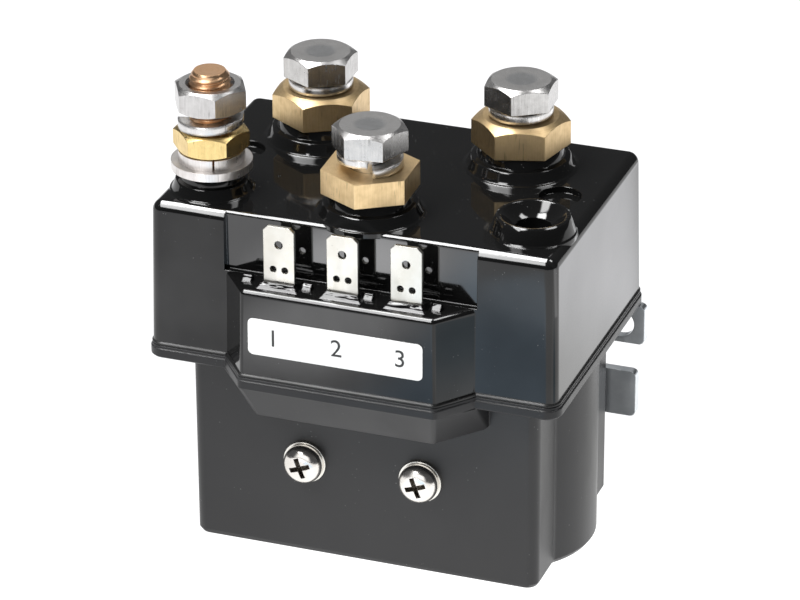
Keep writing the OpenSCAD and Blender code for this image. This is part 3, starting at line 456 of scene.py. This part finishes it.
def satin_housing():
    """Dark grey thermoplastic with a fine satin grain, lightened along its edges by a painted highlight."""
    f = Finish("housing_satin_black", HOUSING_DARK, 0.42, IOR=1.5)
    tree = f.tree
    edge = f.group(EDGE_ROUND, Radius=0.4 * MM, Reach=3.0)
    grain = f.group(MOULDED_GRAIN, Grain_Scale=3200.0, Flow_Scale=55.0)
    wear = f.group(HANDLING, Smear_Scale=60.0, Speck_Scale=900.0)
    body = mix_colour(tree, grain["Tone"], HOUSING_DARK, HOUSING_LIGHT)
    # painted highlight: the base colour is lightened along the edges
    painted_edges = mix_colour(tree, math_node(tree, "MULTIPLY", edge["Edge"], PAINTED_EDGE_SHARE), body, HOUSING_PAINTED_EDGE_LIGHT)
    f.set("Base Color", mix_colour(tree, wear["Speck"], painted_edges, HOUSING_DUST))
    f.set("Roughness", vary(tree, wear["Smear"], *HOUSING_ROUGHNESS))
    # the skirt under the bulge is duller than the walls
    ahead = axes(tree, place(tree))["Y"]
    f.set("Specular IOR Level", remap(tree, ahead, SKIRT_RIM, (SKIRT_SHINE, WALL_SHINE)))
    f.bump(grain["Height"], 0.25, 0.03 * MM, edge["Normal"])
    return f


# Shares of streaks, smears and scores in the tone of a turned metal, and how dark its pits are
STREAK_SHARE, SMEAR_SHARE, SCORE_SHARE, PIT_SHADE = 0.7, 0.35, 0.5, 0.35
LEVEL_DULLNESS = 0.08


def turned_metal(name, colour, dark, roughness, centre=(0.0, 0.0, 0.0), pitch=0.12 * MM, lines=0.12,
                 rounding=0.16 * MM):
    """A machined metal with tool marks round the axis at centre, streaked to a darker tone and scored."""
    f = Finish(name, colour, roughness, metallic=1.0)
    tree = f.tree
    edge = f.group(EDGE_ROUND, Radius=rounding, Reach=4.0)
    marks = f.group(TURNED_LINES, Centre=tuple(centre), Pitch=pitch)
    wear = f.group(HANDLING, Smear_Scale=220.0, Speck_Scale=1500.0)
    streaked = mix_colour(tree, math_node(tree, "MULTIPLY", marks["Streak"], STREAK_SHARE), colour, dark)
    smeared = mix_colour(tree, math_node(tree, "MULTIPLY", wear["Smear"], SMEAR_SHARE), streaked, dark)
    scored = math_node(tree, "MULTIPLY", marks["Nick"], SCORE_SHARE)
    hurt = math_node(tree, "MAXIMUM", scored, wear["Speck"])
    f.set("Base Color", mix_colour(tree, hurt, smeared, shade(dark, PIT_SHADE)))
    upright = vary(tree, marks["Streak"], roughness - 0.04, roughness + 0.08)
    f.set("Roughness", math_node(tree, "MULTIPLY_ADD", marks["Level"], LEVEL_DULLNESS, upright))
    f.bump(marks["Height"], lines, 0.03 * MM, edge["Normal"])
    return f


def plated_sheet(name, colour, dark, roughness):
    """Plated sheet metal: soft cloudy tone and a fine grain."""
    f = Finish(name, colour, roughness, metallic=1.0)
    tree = f.tree
    edge = f.group(EDGE_ROUND, Radius=0.2 * MM, Reach=4.0)
    grain = f.group(MOULDED_GRAIN, Grain_Scale=1800.0, Flow_Scale=220.0)
    wear = f.group(HANDLING, Smear_Scale=160.0, Speck_Scale=1300.0)
    cloud = mix_colour(tree, grain["Tone"], colour, dark)
    f.set("Base Color", mix_colour(tree, wear["Speck"], cloud, shade(dark, 0.5)))
    f.set("Roughness", vary(tree, wear["Smear"], roughness - 0.03, roughness + 0.09))
    f.bump(grain["Height"], 0.1, 0.02 * MM, edge["Normal"])
    return f


def soft_plastic(name, colour, roughness):
    """A plain moulded or coated plastic with a slight variation of tone."""
    f = Finish(name, colour, roughness)
    tree = f.tree
    edge = f.group(EDGE_ROUND, Radius=0.15 * MM, Reach=3.0)
    grain = f.group(MOULDED_GRAIN, Grain_Scale=1500.0, Flow_Scale=120.0)
    f.set("Base Color", mix_colour(tree, grain["Tone"], colour, shade(colour, 0.9)))
    f.set("Roughness", vary(tree, grain["Tone"], roughness - 0.03, roughness + 0.03))
    f.bump(grain["Height"], 0.08, 0.02 * MM, edge["Normal"])
    return f


# Tones of the metals: the bright one, and the darker one of their streaks
STEEL_TONE = ((0.62, 0.61, 0.60), (0.44, 0.43, 0.42))
BRASS_TONE = ((0.80, 0.60, 0.34), (0.56, 0.40, 0.20))
# A lighter copy of the brass tone for the front terminal: painted light
PAINTED_LIT_BRASS_TONE = ((0.93, 0.70, 0.40), (0.69, 0.50, 0.26))
COPPER_TONE = ((0.85, 0.55, 0.33), (0.64, 0.38, 0.21))

# The dimple of a bolt head, and the cross of a screw head: its rim, its depth and the shade in it
DIMPLE_RIM, DIMPLE_TINT = (DIMPLE_R - 1.0 * MM, DIMPLE_R + 0.3 * MM), (0.76, 0.78, 0.80)
CROSS_RIM = (SCREW_CROSS - 0.1 * MM, SCREW_CROSS + 0.1 * MM)
CROSS_DEPTH, CROSS_SHADE = (0.2 * MM, 0.7 * MM), (0.16, 0.145, 0.125)


def bolt_steel():
    """Bright steel of the terminal bolts, duller in the shallow dimple of each head."""
    f = turned_metal("bolt_steel", *STEEL_TONE, 0.22)
    tree = f.tree
    nearest = None
    for axis in (REAR_LEFT_AXIS, REAR_RIGHT_AXIS, FRONT_AXIS):
        from_axis = vector_math(tree, "SUBTRACT", place(tree), tuple(axis))
        distance = vector_math(tree, "LENGTH", scaled(tree, from_axis, (1.0, 1.0, 0.0)))
        nearest = distance if nearest is None else math_node(tree, "MINIMUM", nearest, distance)
    dimple = remap(tree, nearest, DIMPLE_RIM, FADE, smooth=True)
    f.set("Base Color", f.tint(dimple, f.tint(1.0, DIMPLE_TINT, "MULTIPLY")))
    return f


def screw_plate():
    """Bright plating of the pan-head screws, with shade gathered in the cross of each head."""
    f = plated_sheet("bright_screw", (0.84, 0.81, 0.77), (0.70, 0.67, 0.63), 0.2)
    tree = f.tree
    from_middle = vector_math(tree, "SUBTRACT", place(tree), (0.0, SCREW_MIDDLE, 0.0))
    from_axis = vector_math(
        tree, "SUBTRACT", vector_math(tree, "ABSOLUTE", from_middle), (SCREW_X, 0.0, SCREW_Z))
    radius = vector_math(tree, "LENGTH", scaled(tree, from_axis, (1.0, 0.0, 1.0)))
    # depth under the low dome of the head
    fall = math_node(tree, "MULTIPLY", math_node(tree, "MULTIPLY", radius, radius), SCREW_DOME_FALL)
    dome = math_node(tree, "ADD", fall, SCREW_CROWN)
    depth = math_node(tree, "SUBTRACT", dome, axes(tree, from_axis)["Y"])
    within = remap(tree, radius, CROSS_RIM, FADE)
    hollow = math_node(tree, "MULTIPLY", remap(tree, depth, CROSS_DEPTH), within)
    f.set("Base Color", f.tint(hollow, CROSS_SHADE))
    return f


COVER = glossy_cover()
HOUSING = satin_housing()
LABEL = soft_plastic("label_white_film", (0.97, 0.97, 0.95), 0.4)
INK = soft_plastic("label_print", (0.03, 0.03, 0.03), 0.5)
ZINC = plated_sheet("zinc_plate", (0.69, 0.72, 0.74), (0.54, 0.57, 0.60), 0.34)
TIN = plated_sheet("tinned_blade", (0.64, 0.63, 0.59), (0.56, 0.54, 0.48), 0.3)
BRIGHT = turned_metal("bright_steel", *STEEL_TONE, 0.22)
LOCK_WASHER = turned_metal(
    "lock_washer_steel", (0.74, 0.73, 0.72), (0.56, 0.55, 0.54), 0.2, rounding=0.9 * MM)
LEADS = soft_plastic("lead_insulation", (0.45, 0.03, 0.02), 0.35)
NYLON = soft_plastic("natural_nylon", (0.70, 0.68, 0.60), 0.45)
IRON = plated_sheet("soft_iron", (0.42, 0.42, 0.43), (0.32, 0.32, 0.33), 0.38)
SILVER = plated_sheet("silver_tip", (0.86, 0.85, 0.82), (0.70, 0.69, 0.66), 0.25)
SPRING = plated_sheet("spring_wire", (0.40, 0.39, 0.38), (0.28, 0.27, 0.26), 0.3)
WINDING = turned_metal(
    "enamelled_winding", (0.55, 0.25, 0.12), (0.38, 0.15, 0.07), 0.3, pitch=0.6 * MM, lines=0.8)
BUSBAR = turned_metal("busbar_copper", *COPPER_TONE, 0.3)
STUD_COPPER = turned_metal("stud_copper", *COPPER_TONE, 0.3, STUD_AXIS, pitch=0.4 * MM, lines=0.5)
STUD_WASHER = turned_metal("stud_washer_zinc", (0.80, 0.77, 0.75), (0.62, 0.59, 0.57), 0.3, STUD_AXIS)
SCREW = screw_plate()
SCREW_WASHER = plated_sheet("bright_washer", (0.84, 0.82, 0.77), (0.72, 0.70, 0.65), 0.28)
STUD_BRASS = turned_metal("stud_nut_brass", (0.86, 0.66, 0.30), (0.62, 0.43, 0.17), 0.2, STUD_AXIS)
STUD_STEEL = turned_metal("stud_nut_steel", *STEEL_TONE, 0.2, STUD_AXIS)

FINISHES = {
    "lower_housing": HOUSING, "upper_cover": COVER, "front_label": LABEL, "mounting_bracket": ZINC,
    "front_screws": SCREW, "front_screw_washers": SCREW_WASHER,
    "bracket_screws": SCREW, "bracket_screw_washers": SCREW_WASHER,
    "left_motor_terminal": turned_metal("rear_left_brass", *BRASS_TONE, 0.34, REAR_LEFT_AXIS),
    "right_motor_terminal": turned_metal("rear_right_brass", *BRASS_TONE, 0.34, REAR_RIGHT_AXIS),
    # the front terminal takes the lighter copy of the brass: painted light
    "positive_terminal": turned_metal("front_brass", *PAINTED_LIT_BRASS_TONE, 0.34, FRONT_AXIS),
    "terminal_bolts": bolt_steel(), "terminal_lock_washers": LOCK_WASHER,
    "negative_stud": STUD_COPPER, "stud_flat_washer": STUD_WASHER, "stud_lower_lock_washer": STUD_WASHER,
    "stud_brass_nut": STUD_BRASS, "stud_upper_lock_washer": LOCK_WASHER, "stud_steel_nut": STUD_STEEL,
    "left_coil_blade": TIN, "common_coil_blade": TIN, "right_coil_blade": TIN, "coil_leads": LEADS,
    "contact_base": NYLON, "negative_bus": BUSBAR, "positive_bus": BUSBAR,
    "left_motor_contact": BUSBAR, "right_motor_contact": BUSBAR, "fixed_contact_tips": SILVER,
    "solenoid_frame": IRON, "flux_plate": IRON,
}
PAIRED_FINISHES = {
    "bobbin": NYLON, "winding": WINDING, "core": IRON, "return_spring": SPRING, "plunger": IRON,
    "push_rod": BRIGHT, "contact_bridge": BUSBAR, "moving_tips": SILVER, "bridge_bush": NYLON,
    "contact_springs": SPRING, "rod_clips": SPRING,
}
for side in ("left", "right"):
    for name, finish in PAIRED_FINISHES.items():
        FINISHES[f"{side}_{name}"] = finish


# Shading of the solids: their facets are welded and shaded smooth up to an angle

def set_inputs(modifier, **values):
    """Sets named inputs of a geometry nodes modifier."""
    for socket in modifier.node_group.interface.items_tree:
        label = socket.name.replace(" ", "_")
        if socket.in_out == "INPUT" and label in values:
            modifier[socket.identifier] = values[label]


def make_smooth_by_angle():
    """Geometry nodes that weld loose triangles and keep only edges sharper than an angle."""
    tree, given, out = new_group(
        "smooth_by_angle", "GeometryNodeTree",
        {"Geometry": GEOMETRY, "Weld": CLOSE_WELD, "Angle": math.radians(SOLID_CREASE)},
        {"Geometry": GEOMETRY})
    welded = new_node(tree, "GeometryNodeMergeByDistance", "Geometry",
                      Geometry=given["Geometry"], Distance=given["Weld"])
    faces = new_node(tree, "GeometryNodeSetShadeSmooth", "Geometry", Geometry=welded)
    fold = new_node(tree, "GeometryNodeInputMeshEdgeAngle", "Unsigned Angle")
    gentle = new_node(tree, "FunctionNodeCompare", "Result", {"operation": "LESS_EQUAL"},
                      A=fold, B=given["Angle"])
    edges = new_node(tree, "GeometryNodeSetShadeSmooth", "Geometry", {"domain": "EDGE"},
                     Geometry=faces, Shade_Smooth=gentle)
    return give(tree, out, Geometry=edges)


def dress_solids():
    """Gives each solid its finish and its smooth shading."""
    shading = make_smooth_by_angle()
    for name, node in NODES.items():
        node.data.materials.clear()
        node.data.materials.append(FINISHES[name].material)
        smooth = node.modifiers.new("smooth_by_angle", "NODES")
        smooth.node_group = shading
        set_inputs(smooth, Weld=WIDER_WELD.get(name, CLOSE_WELD))
        weighted = node.modifiers.new("weighted_normals", "WEIGHTED_NORMAL")
        weighted.keep_sharp = True


# Pieces that the solids leave to this scene

# The thread's flanks lie between flat crests and roots, and the middle of its head hangs below its foot
FLANK_SLOPE, FLANK_START = 2.6, -0.2
HEAD_DROP = -0.49

# Facets round a spring's wire, and round and up a moulding mark
WIRE_FACETS = 12
MARK_SEGMENTS, MARK_RINGS = 16, 10


def new_growth(name, sizes):
    """A geometry node group with named sizes and a material. Returns its tree, inputs and output node."""
    return new_group(name, "GeometryNodeTree", {
        "Geometry": GEOMETRY, **sizes, "Material": "NodeSocketMaterial"}, {"Geometry": GEOMETRY})


def finish_growth(tree, given, out, shape):
    """Ends a geometry node group with a plain shape in the given material."""
    real = new_node(tree, "GeometryNodeRealizeInstances", "Geometry", Geometry=shape)
    dressed = new_node(tree, "GeometryNodeSetMaterial", "Geometry",
                       Geometry=real, Material=given["Material"])
    return give(tree, out, Geometry=dressed)


def joined(tree, *shapes):
    """Several shapes as one."""
    node = tree.nodes.new("GeometryNodeJoinGeometry")
    for shape in shapes:
        link(tree, shape, node.inputs["Geometry"])
    return node.outputs["Geometry"]


def raised(tree, shape, height):
    """A shape moved up."""
    return new_node(tree, "GeometryNodeSetPosition", "Geometry",
                    Geometry=shape, Offset=combined(tree, z=height))


def make_threaded_rod():
    """A grid wrapped round an axis, with a helical thread pressed in and a tapered end, on a round head."""
    tree, given, out = new_growth("threaded_rod", {
        "Length": 30 * MM, "Rows": 200, "Columns": 49, "Crest Radius": 4 * MM, "Root Radius": 3.4 * MM,
        "Pitch": 1.25 * MM, "End Radius": 3.1 * MM, "End Slope": 0.8, "Head Radius": 6 * MM,
        "Head Height": 4 * MM})
    grid = new_node(tree, "GeometryNodeMeshGrid", "Mesh", Size_X=1.0, Size_Y=1.0,
                    Vertices_X=given["Columns"], Vertices_Y=given["Rows"])
    at = axes(tree, new_node(tree, "GeometryNodeInputPosition", 0))
    turn = math_node(tree, "ADD", at["X"], 0.5)
    up = math_node(tree, "MULTIPLY", math_node(tree, "ADD", at["Y"], 0.5), given["Length"])
    along = math_node(tree, "SUBTRACT", math_node(tree, "DIVIDE", up, given["Pitch"]), turn)
    wave = math_node(tree, "PINGPONG", along, 0.5)
    flank = math_node(tree, "MULTIPLY_ADD", wave, FLANK_SLOPE, FLANK_START, clamp=True)
    depth = math_node(tree, "SUBTRACT", given["Crest Radius"], given["Root Radius"])
    radius = math_node(tree, "MULTIPLY_ADD", flank, depth, given["Root Radius"])
    left_over = math_node(tree, "SUBTRACT", given["Length"], up)
    taper = math_node(tree, "MULTIPLY_ADD", left_over, given["End Slope"], given["End Radius"])
    start = math_node(tree, "ADD", up, given["Root Radius"])
    radius = math_node(tree, "MINIMUM", math_node(tree, "MINIMUM", radius, taper), start)
    angle = math_node(tree, "MULTIPLY", turn, math.tau)
    spot = combined(tree, math_node(tree, "MULTIPLY", radius, math_node(tree, "COSINE", angle)),
                    math_node(tree, "MULTIPLY", radius, math_node(tree, "SINE", angle)), up)
    wrapped = new_node(tree, "GeometryNodeSetPosition", "Geometry", Geometry=grid, Position=spot)
    around = math_node(tree, "SUBTRACT", given["Columns"], 1.0)

    def cap(size, height):
        """A flat round face across the rod."""
        disc = new_node(tree, "GeometryNodeMeshCircle", "Mesh", {"fill_type": "NGON"},
                        Vertices=around, Radius=size)
        return raised(tree, disc, height)

    foot = new_node(tree, "GeometryNodeFlipFaces", "Mesh", Mesh=cap(given["Root Radius"], 0.0))
    rod = new_node(tree, "GeometryNodeMergeByDistance", "Geometry", Distance=FINE_WELD,
                   Geometry=joined(tree, cap(given["End Radius"], given["Length"]), foot, wrapped))
    head = new_node(tree, "GeometryNodeMeshCylinder", "Mesh",
                    Vertices=around, Radius=given["Head Radius"], Depth=given["Head Height"])
    head = raised(tree, head, math_node(tree, "MULTIPLY", given["Head Height"], HEAD_DROP))
    return finish_growth(tree, given, out, joined(tree, rod, head))


def make_wound_spring():
    """A coil of round wire that climbs from the ground."""
    tree, given, out = new_growth("wound_spring", {
        "Radius": 3 * MM, "Wire Radius": 0.4 * MM, "Rise": 10 * MM, "Turns": 6.0, "Steps": 32})
    path = new_node(tree, "GeometryNodeCurveSpiral", "Curve", Resolution=given["Steps"],
                    Rotations=given["Turns"], Start_Radius=given["Radius"], End_Radius=given["Radius"],
                    Height=given["Rise"])
    wire = new_node(tree, "GeometryNodeCurvePrimitiveCircle", "Curve",
                    Resolution=WIRE_FACETS, Radius=given["Wire Radius"])
    coil = new_node(tree, "GeometryNodeCurveToMesh", "Mesh", Curve=path, Profile_Curve=wire, Fill_Caps=True)
    return finish_growth(tree, given, out, coil)


def make_low_domes():
    """A flattened ball on each point, for small moulding marks."""
    tree, given, out = new_growth("low_domes", {"Radius": 0.4 * MM, "Flatness": 0.3})
    ball = new_node(tree, "GeometryNodeMeshUVSphere", "Mesh",
                    Segments=MARK_SEGMENTS, Rings=MARK_RINGS, Radius=given["Radius"])
    domes = new_node(tree, "GeometryNodeInstanceOnPoints", "Instances", Points=given["Geometry"],
                     Instance=ball, Scale=combined(tree, 1.0, 1.0, given["Flatness"]))
    return finish_growth(tree, given, out, domes)


def plain_mesh(source):
    """The evaluated mesh of an object, which is then removed."""
    bpy.context.collection.objects.link(source)
    graph = bpy.context.evaluated_depsgraph_get()
    mesh = bpy.data.meshes.new_from_object(source.evaluated_get(graph), depsgraph=graph)
    bpy.data.objects.remove(source)
    return mesh


def grow(tree, points, **values):
    """The plain mesh that a geometry node group makes on some points."""
    seed = bpy.data.meshes.new("seed")
    seed.from_pydata(points, [], [])
    source = bpy.data.objects.new("seed", seed)
    modifier = source.modifiers.new("grow", "NODES")
    modifier.node_group = tree
    set_inputs(modifier, **values)
    return plain_mesh(source)


def add_piece(name, mesh, body, at=(0.0, 0.0, 0.0), crease=PIECE_CREASE):
    """A piece of the dressed part, smooth up to an angle, that rides on a body."""
    mesh.transform(Matrix.Translation(at))
    mesh.shade_smooth()
    mesh.set_sharp_from_angle(angle=math.radians(crease))
    piece = bpy.data.objects.new(name, mesh)
    bpy.context.collection.objects.link(piece)
    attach(piece, body)
    return piece


def add_thread():
    """The stud with its helical thread."""
    rod = grow(make_threaded_rod(), [],
               Length=STUD_TOP - STUD_SEAT, Rows=THREAD_ROWS, Material=STUD_COPPER.material)
    stud = add_piece("threaded_stud", rod, "case", (STUD_AXIS.x, STUD_AXIS.y, STUD_SEAT))
    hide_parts("negative_stud")


def add_return_springs():
    """The springs between cores and plungers, riding on the case."""
    tree = make_wound_spring()
    for side, x in (("left", -COIL_X), ("right", COIL_X)):
        wound = grow(tree, [], Radius=SPRING_R, Wire_Radius=SPRING_WIRE_R,
                     Rise=SPRING_HEIGHT - 2 * SPRING_WIRE_R, Material=SPRING.material)
        spring = add_piece(f"{side}_wound_spring", wound, "case", (x, COIL_Y, SPRING_FOOT + SPRING_WIRE_R))
        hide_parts(f"{side}_return_spring")
        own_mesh(spring)


def add_gate_marks():
    """Three low moulding marks on top of the cover."""
    spots = [(x * MM, y * MM, COVER_TOP) for x, y in GATE_MARKS]
    marks = grow(make_low_domes(), spots, Radius=GATE_MARK_R, Material=COVER.material)
    add_piece("gate_marks", marks, "case")


def add_label_digits():
    """Plain numbers under the three coil blades, printed on the leaning label."""
    digits = bmesh.new()
    lean = Matrix.Translation(LABEL_FOOT) @ Matrix.Rotation(math.radians(-LABEL_LEAN), 4, "X")
    upright = Matrix.Rotation(math.radians(90), 4, "X")
    for digit, x in DIGIT_PLACES:
        curve = bpy.data.curves.new("digit", "FONT")
        curve.body = digit
        curve.size = DIGIT_SIZE
        curve.align_x, curve.align_y = "CENTER", "CENTER"
        curve.extrude = DIGIT_DEPTH
        mesh = plain_mesh(bpy.data.objects.new("digit", curve))
        mesh.transform(lean @ Matrix.Translation((x * MM, -LABEL_FACE, LABEL_MIDDLE)) @ upright)
        digits.from_mesh(mesh)
    bmesh.ops.remove_doubles(digits, verts=digits.verts, dist=FINE_WELD)
    mesh = bpy.data.meshes.new("label_digits")
    digits.to_mesh(mesh)
    digits.free()
    mesh.materials.append(INK.material)
    add_piece("label_digits", mesh, "case", crease=DIGIT_CREASE)


# Stage: pale floor, softboxes and camera

# The floor's half size and its own colour, and its glow by where it lies round the part
FLOOR_HALF = 4.0
FLOOR_BASE, FLOOR_ROUGHNESS = (0.02, 0.02, 0.02), 0.8
FLOOR_NEAR_LEFT = (1.02, 1.02, 1.02)
FLOOR_NEAR_RIGHT = (1.38, 1.38, 1.38)
FLOOR_AHEAD_LEFT = (1.15, 1.15, 1.17)
FLOOR_AHEAD_RIGHT = ((0.8, 1.05, 1.3), (1.45, 1.7, 1.95))
FLOOR_GLOW = (3.3, 3.3, 3.35)
FLOOR_FAR_RIGHT = (0.56, 0.70, 0.80)
FLOOR_BEHIND_LEFT = (1.02, 1.02, 1.03)
FLOOR_BEHIND = ((1.3, 1.3, 1.28), (2.0, 2.0, 2.04))
FLOOR_BEYOND = (1.15, 1.15, 1.15)

# Where one glow ends and the next begins, from left to right
NEAR_SPLIT = (-0.055, 0.0)
AHEAD_SPLIT = (-0.035, -0.015)
AHEAD_SIDE = (0.02, 0.05)

# The same from front to back
AHEAD_FAR_END = (-0.176, -0.19)
AHEAD_MIDDLE = (-0.146, -0.172)
NEAR_END = (-0.07, -0.1)
BACK_START = (-0.01, 0.05)
BEHIND_MIDDLE = (0.05, 0.13)

# A strip behind the part runs aslant, and two patches lie on the floor: middle, half sizes and soft edge
STRIP_SLANT = -0.357
STRIP_LEFT, STRIP_RIGHT = (0.024, 0.032), (0.055, 0.07)
GLOW_PATCH = ((-0.05, -0.155), (0.026, 0.038), (1.0, 0.3))
DIM_PATCH = ((0.15, -0.045), (0.05, 0.035), (1.0, 0.1))


def add_floor():
    """A white sweep that glows, with the soft light and dark patches that the glossy cover mirrors."""
    mesh = bpy.data.meshes.new("floor")
    s = FLOOR_HALF
    mesh.from_pydata([(-s, -s, 0), (s, -s, 0), (s, s, 0), (-s, s, 0)], [], [(0, 1, 2, 3)])
    floor = bpy.data.objects.new("floor", mesh)
    bpy.context.collection.objects.link(floor)
    f = Finish("floor_white", FLOOR_BASE, FLOOR_ROUGHNESS)
    tree = f.tree
    at = axes(tree, place(tree))
    x, y = at["X"], at["Y"]

    def blend(along, ends, first, then):
        """One glow up to the first end, then another from the second end on."""
        step = remap(tree, along, sorted(ends), GROW if ends[0] < ends[1] else FADE, smooth=True)
        return mix_colour(tree, step, first, then)

    def lay_patch(patch, ground, glow):
        """A soft oval patch of another glow on the ground."""
        middle, half, ends = patch
        away = vector_math(tree, "SUBTRACT", place(tree), (*middle, 0.0))
        reach = vector_math(tree, "LENGTH", scaled(tree, away, (1 / half[0], 1 / half[1], 0.0)))
        return blend(reach, ends, ground, glow)

    ahead_right = blend(y, AHEAD_MIDDLE, *FLOOR_AHEAD_RIGHT)
    ahead_right = blend(y, AHEAD_FAR_END, ahead_right, FLOOR_BEYOND)
    ahead_right = blend(x, AHEAD_SIDE, ahead_right, FLOOR_BEYOND)
    ahead = blend(x, AHEAD_SPLIT, FLOOR_AHEAD_LEFT, ahead_right)
    ahead = lay_patch(GLOW_PATCH, ahead, FLOOR_GLOW)
    near = blend(x, NEAR_SPLIT, FLOOR_NEAR_LEFT, FLOOR_NEAR_RIGHT)
    front = lay_patch(DIM_PATCH, blend(y, NEAR_END, near, ahead), FLOOR_FAR_RIGHT)
    beside = math_node(tree, "MULTIPLY_ADD", y, STRIP_SLANT, x)
    strip = blend(beside, STRIP_RIGHT, blend(y, BEHIND_MIDDLE, *FLOOR_BEHIND), FLOOR_BEYOND)
    behind = blend(beside, STRIP_LEFT, FLOOR_BEHIND_LEFT, strip)
    f.set("Emission Color", blend(y, BACK_START, front, behind))
    f.set("Emission Strength", 1.0)
    floor.data.materials.append(f.material)


# Two long softboxes overhead with a narrow gap between them and a small one to the right, dimmed for the
# metals: each one's place, size, power and how far its edges fade
SOFTBOX_HEIGHT = 0.8
METAL_SHARE = 0.35
SOFTBOXES = {
    "front_softbox": ((-0.33, -0.58), (0.42, 0.80), 16.0, (0.2, 0.12)),
    "rear_softbox": ((-0.27, 0.075), (0.42, 0.54), 18.0, (0.2, 0.05)),
    "right_softbox": ((0.33, 0.24), (0.36, 0.3), 4.5, (0.2, 0.2)),
}

# A dim sheet far behind that the bolts' level tops mirror, and one before the part for the round screw
# heads: each one's place, what it faces, its size, power and how far its edges fade
SHEETS = {
    "back_sheet": ((-0.36, 1.0, 0.63), (0.0, 0.0, 0.09), (1.6, 0.6), 1.35, (0.3, 0.3)),
    "front_sheet": ((-0.1, -1.1, 0.42), (0.0, 0.0, 0.02), (1.6, 0.75), 5.5, (0.3, 0.1)),
}
STUDIO_TONE, STUDIO_GLOW = (0.55, 0.56, 0.58), 0.15


def add_softbox(name, at, aim, size, power, fades, receivers):
    """An area light at a point, facing another, fading towards its edges, that lights only some objects."""
    lamp = bpy.data.lights.new(name, "AREA")
    lamp.shape = "RECTANGLE"
    lamp.size, lamp.size_y = size
    lamp.energy = power
    lamp.use_nodes = True
    tree = lamp.node_tree
    spot = axes(tree, new_node(tree, "ShaderNodeNewGeometry", "Parametric"))
    across, along = [remap(tree, math_node(tree, "PINGPONG", spot[axis], 0.5), (0.0, fade), smooth=True)
                     for axis, fade in zip("XY", fades)]
    link(tree, math_node(tree, "MULTIPLY", across, along), tree.nodes["Emission"].inputs["Strength"])
    box = bpy.data.objects.new(name, lamp)
    bpy.context.collection.objects.link(box)
    box.location = at
    box.rotation_euler = (Vector(aim) - Vector(at)).to_track_quat("-Z", "Y").to_euler()
    box.light_linking.receiver_collection = receivers


def light_scene():
    """A dim studio with softboxes that light plastics and metals apart."""
    world = bpy.data.worlds.new("studio")
    world.use_nodes = True
    background = world.node_tree.nodes["Background"]
    background.inputs["Color"].default_value = opaque(STUDIO_TONE)
    background.inputs["Strength"].default_value = STUDIO_GLOW
    bpy.context.scene.world = world
    bpy.context.scene.view_settings.view_transform = "Standard"
    plastics, metals = bpy.data.collections.new("plastics"), bpy.data.collections.new("metals")
    mouldings = [finish.material for finish in (COVER, HOUSING, LABEL, INK)]
    for thing in bpy.context.scene.objects:
        if thing.type == "MESH":
            plastic = thing.data.materials[0] in mouldings or thing.name == "floor"
            (plastics if plastic else metals).objects.link(thing)
    for receivers, share in ((plastics, 1.0), (metals, METAL_SHARE)):
        for name, ((x, y), size, power, fades) in SOFTBOXES.items():
            add_softbox(f"{name}_{receivers.name}", (x, y, SOFTBOX_HEIGHT), (x, y, 0.0), size,
                        power * share, fades, receivers)
    for name, (at, aim, size, power, fades) in SHEETS.items():
        add_softbox(name, at, aim, size, power, fades, metals)


def add_camera():
    """The camera as it stood for the photograph."""
    lens = bpy.data.cameras.new("camera")
    lens.lens = LENS
    lens.sensor_width = SENSOR
    lens.shift_x, lens.shift_y = VIEW_SHIFT
    lens.clip_start = NEAR_CLIP
    camera = bpy.data.objects.new("camera", lens)
    bpy.context.collection.objects.link(camera)
    a, e = math.radians(VIEW_AZIMUTH), math.radians(VIEW_ELEVATION)
    back = Vector((math.sin(a) * math.cos(e), -math.cos(a) * math.cos(e), math.sin(e)))
    camera.location = VIEW_TARGET + VIEW_DISTANCE * back
    level = (-back).to_track_quat("-Z", "Y").to_matrix()
    camera.rotation_euler = (level @ Matrix.Rotation(math.radians(VIEW_ROLL), 3, "Z")).to_euler()
    bpy.context.scene.camera = camera


dress_solids()
add_thread()
add_return_springs()
add_gate_marks()
add_label_digits()
add_floor()
light_scene()
add_camera()
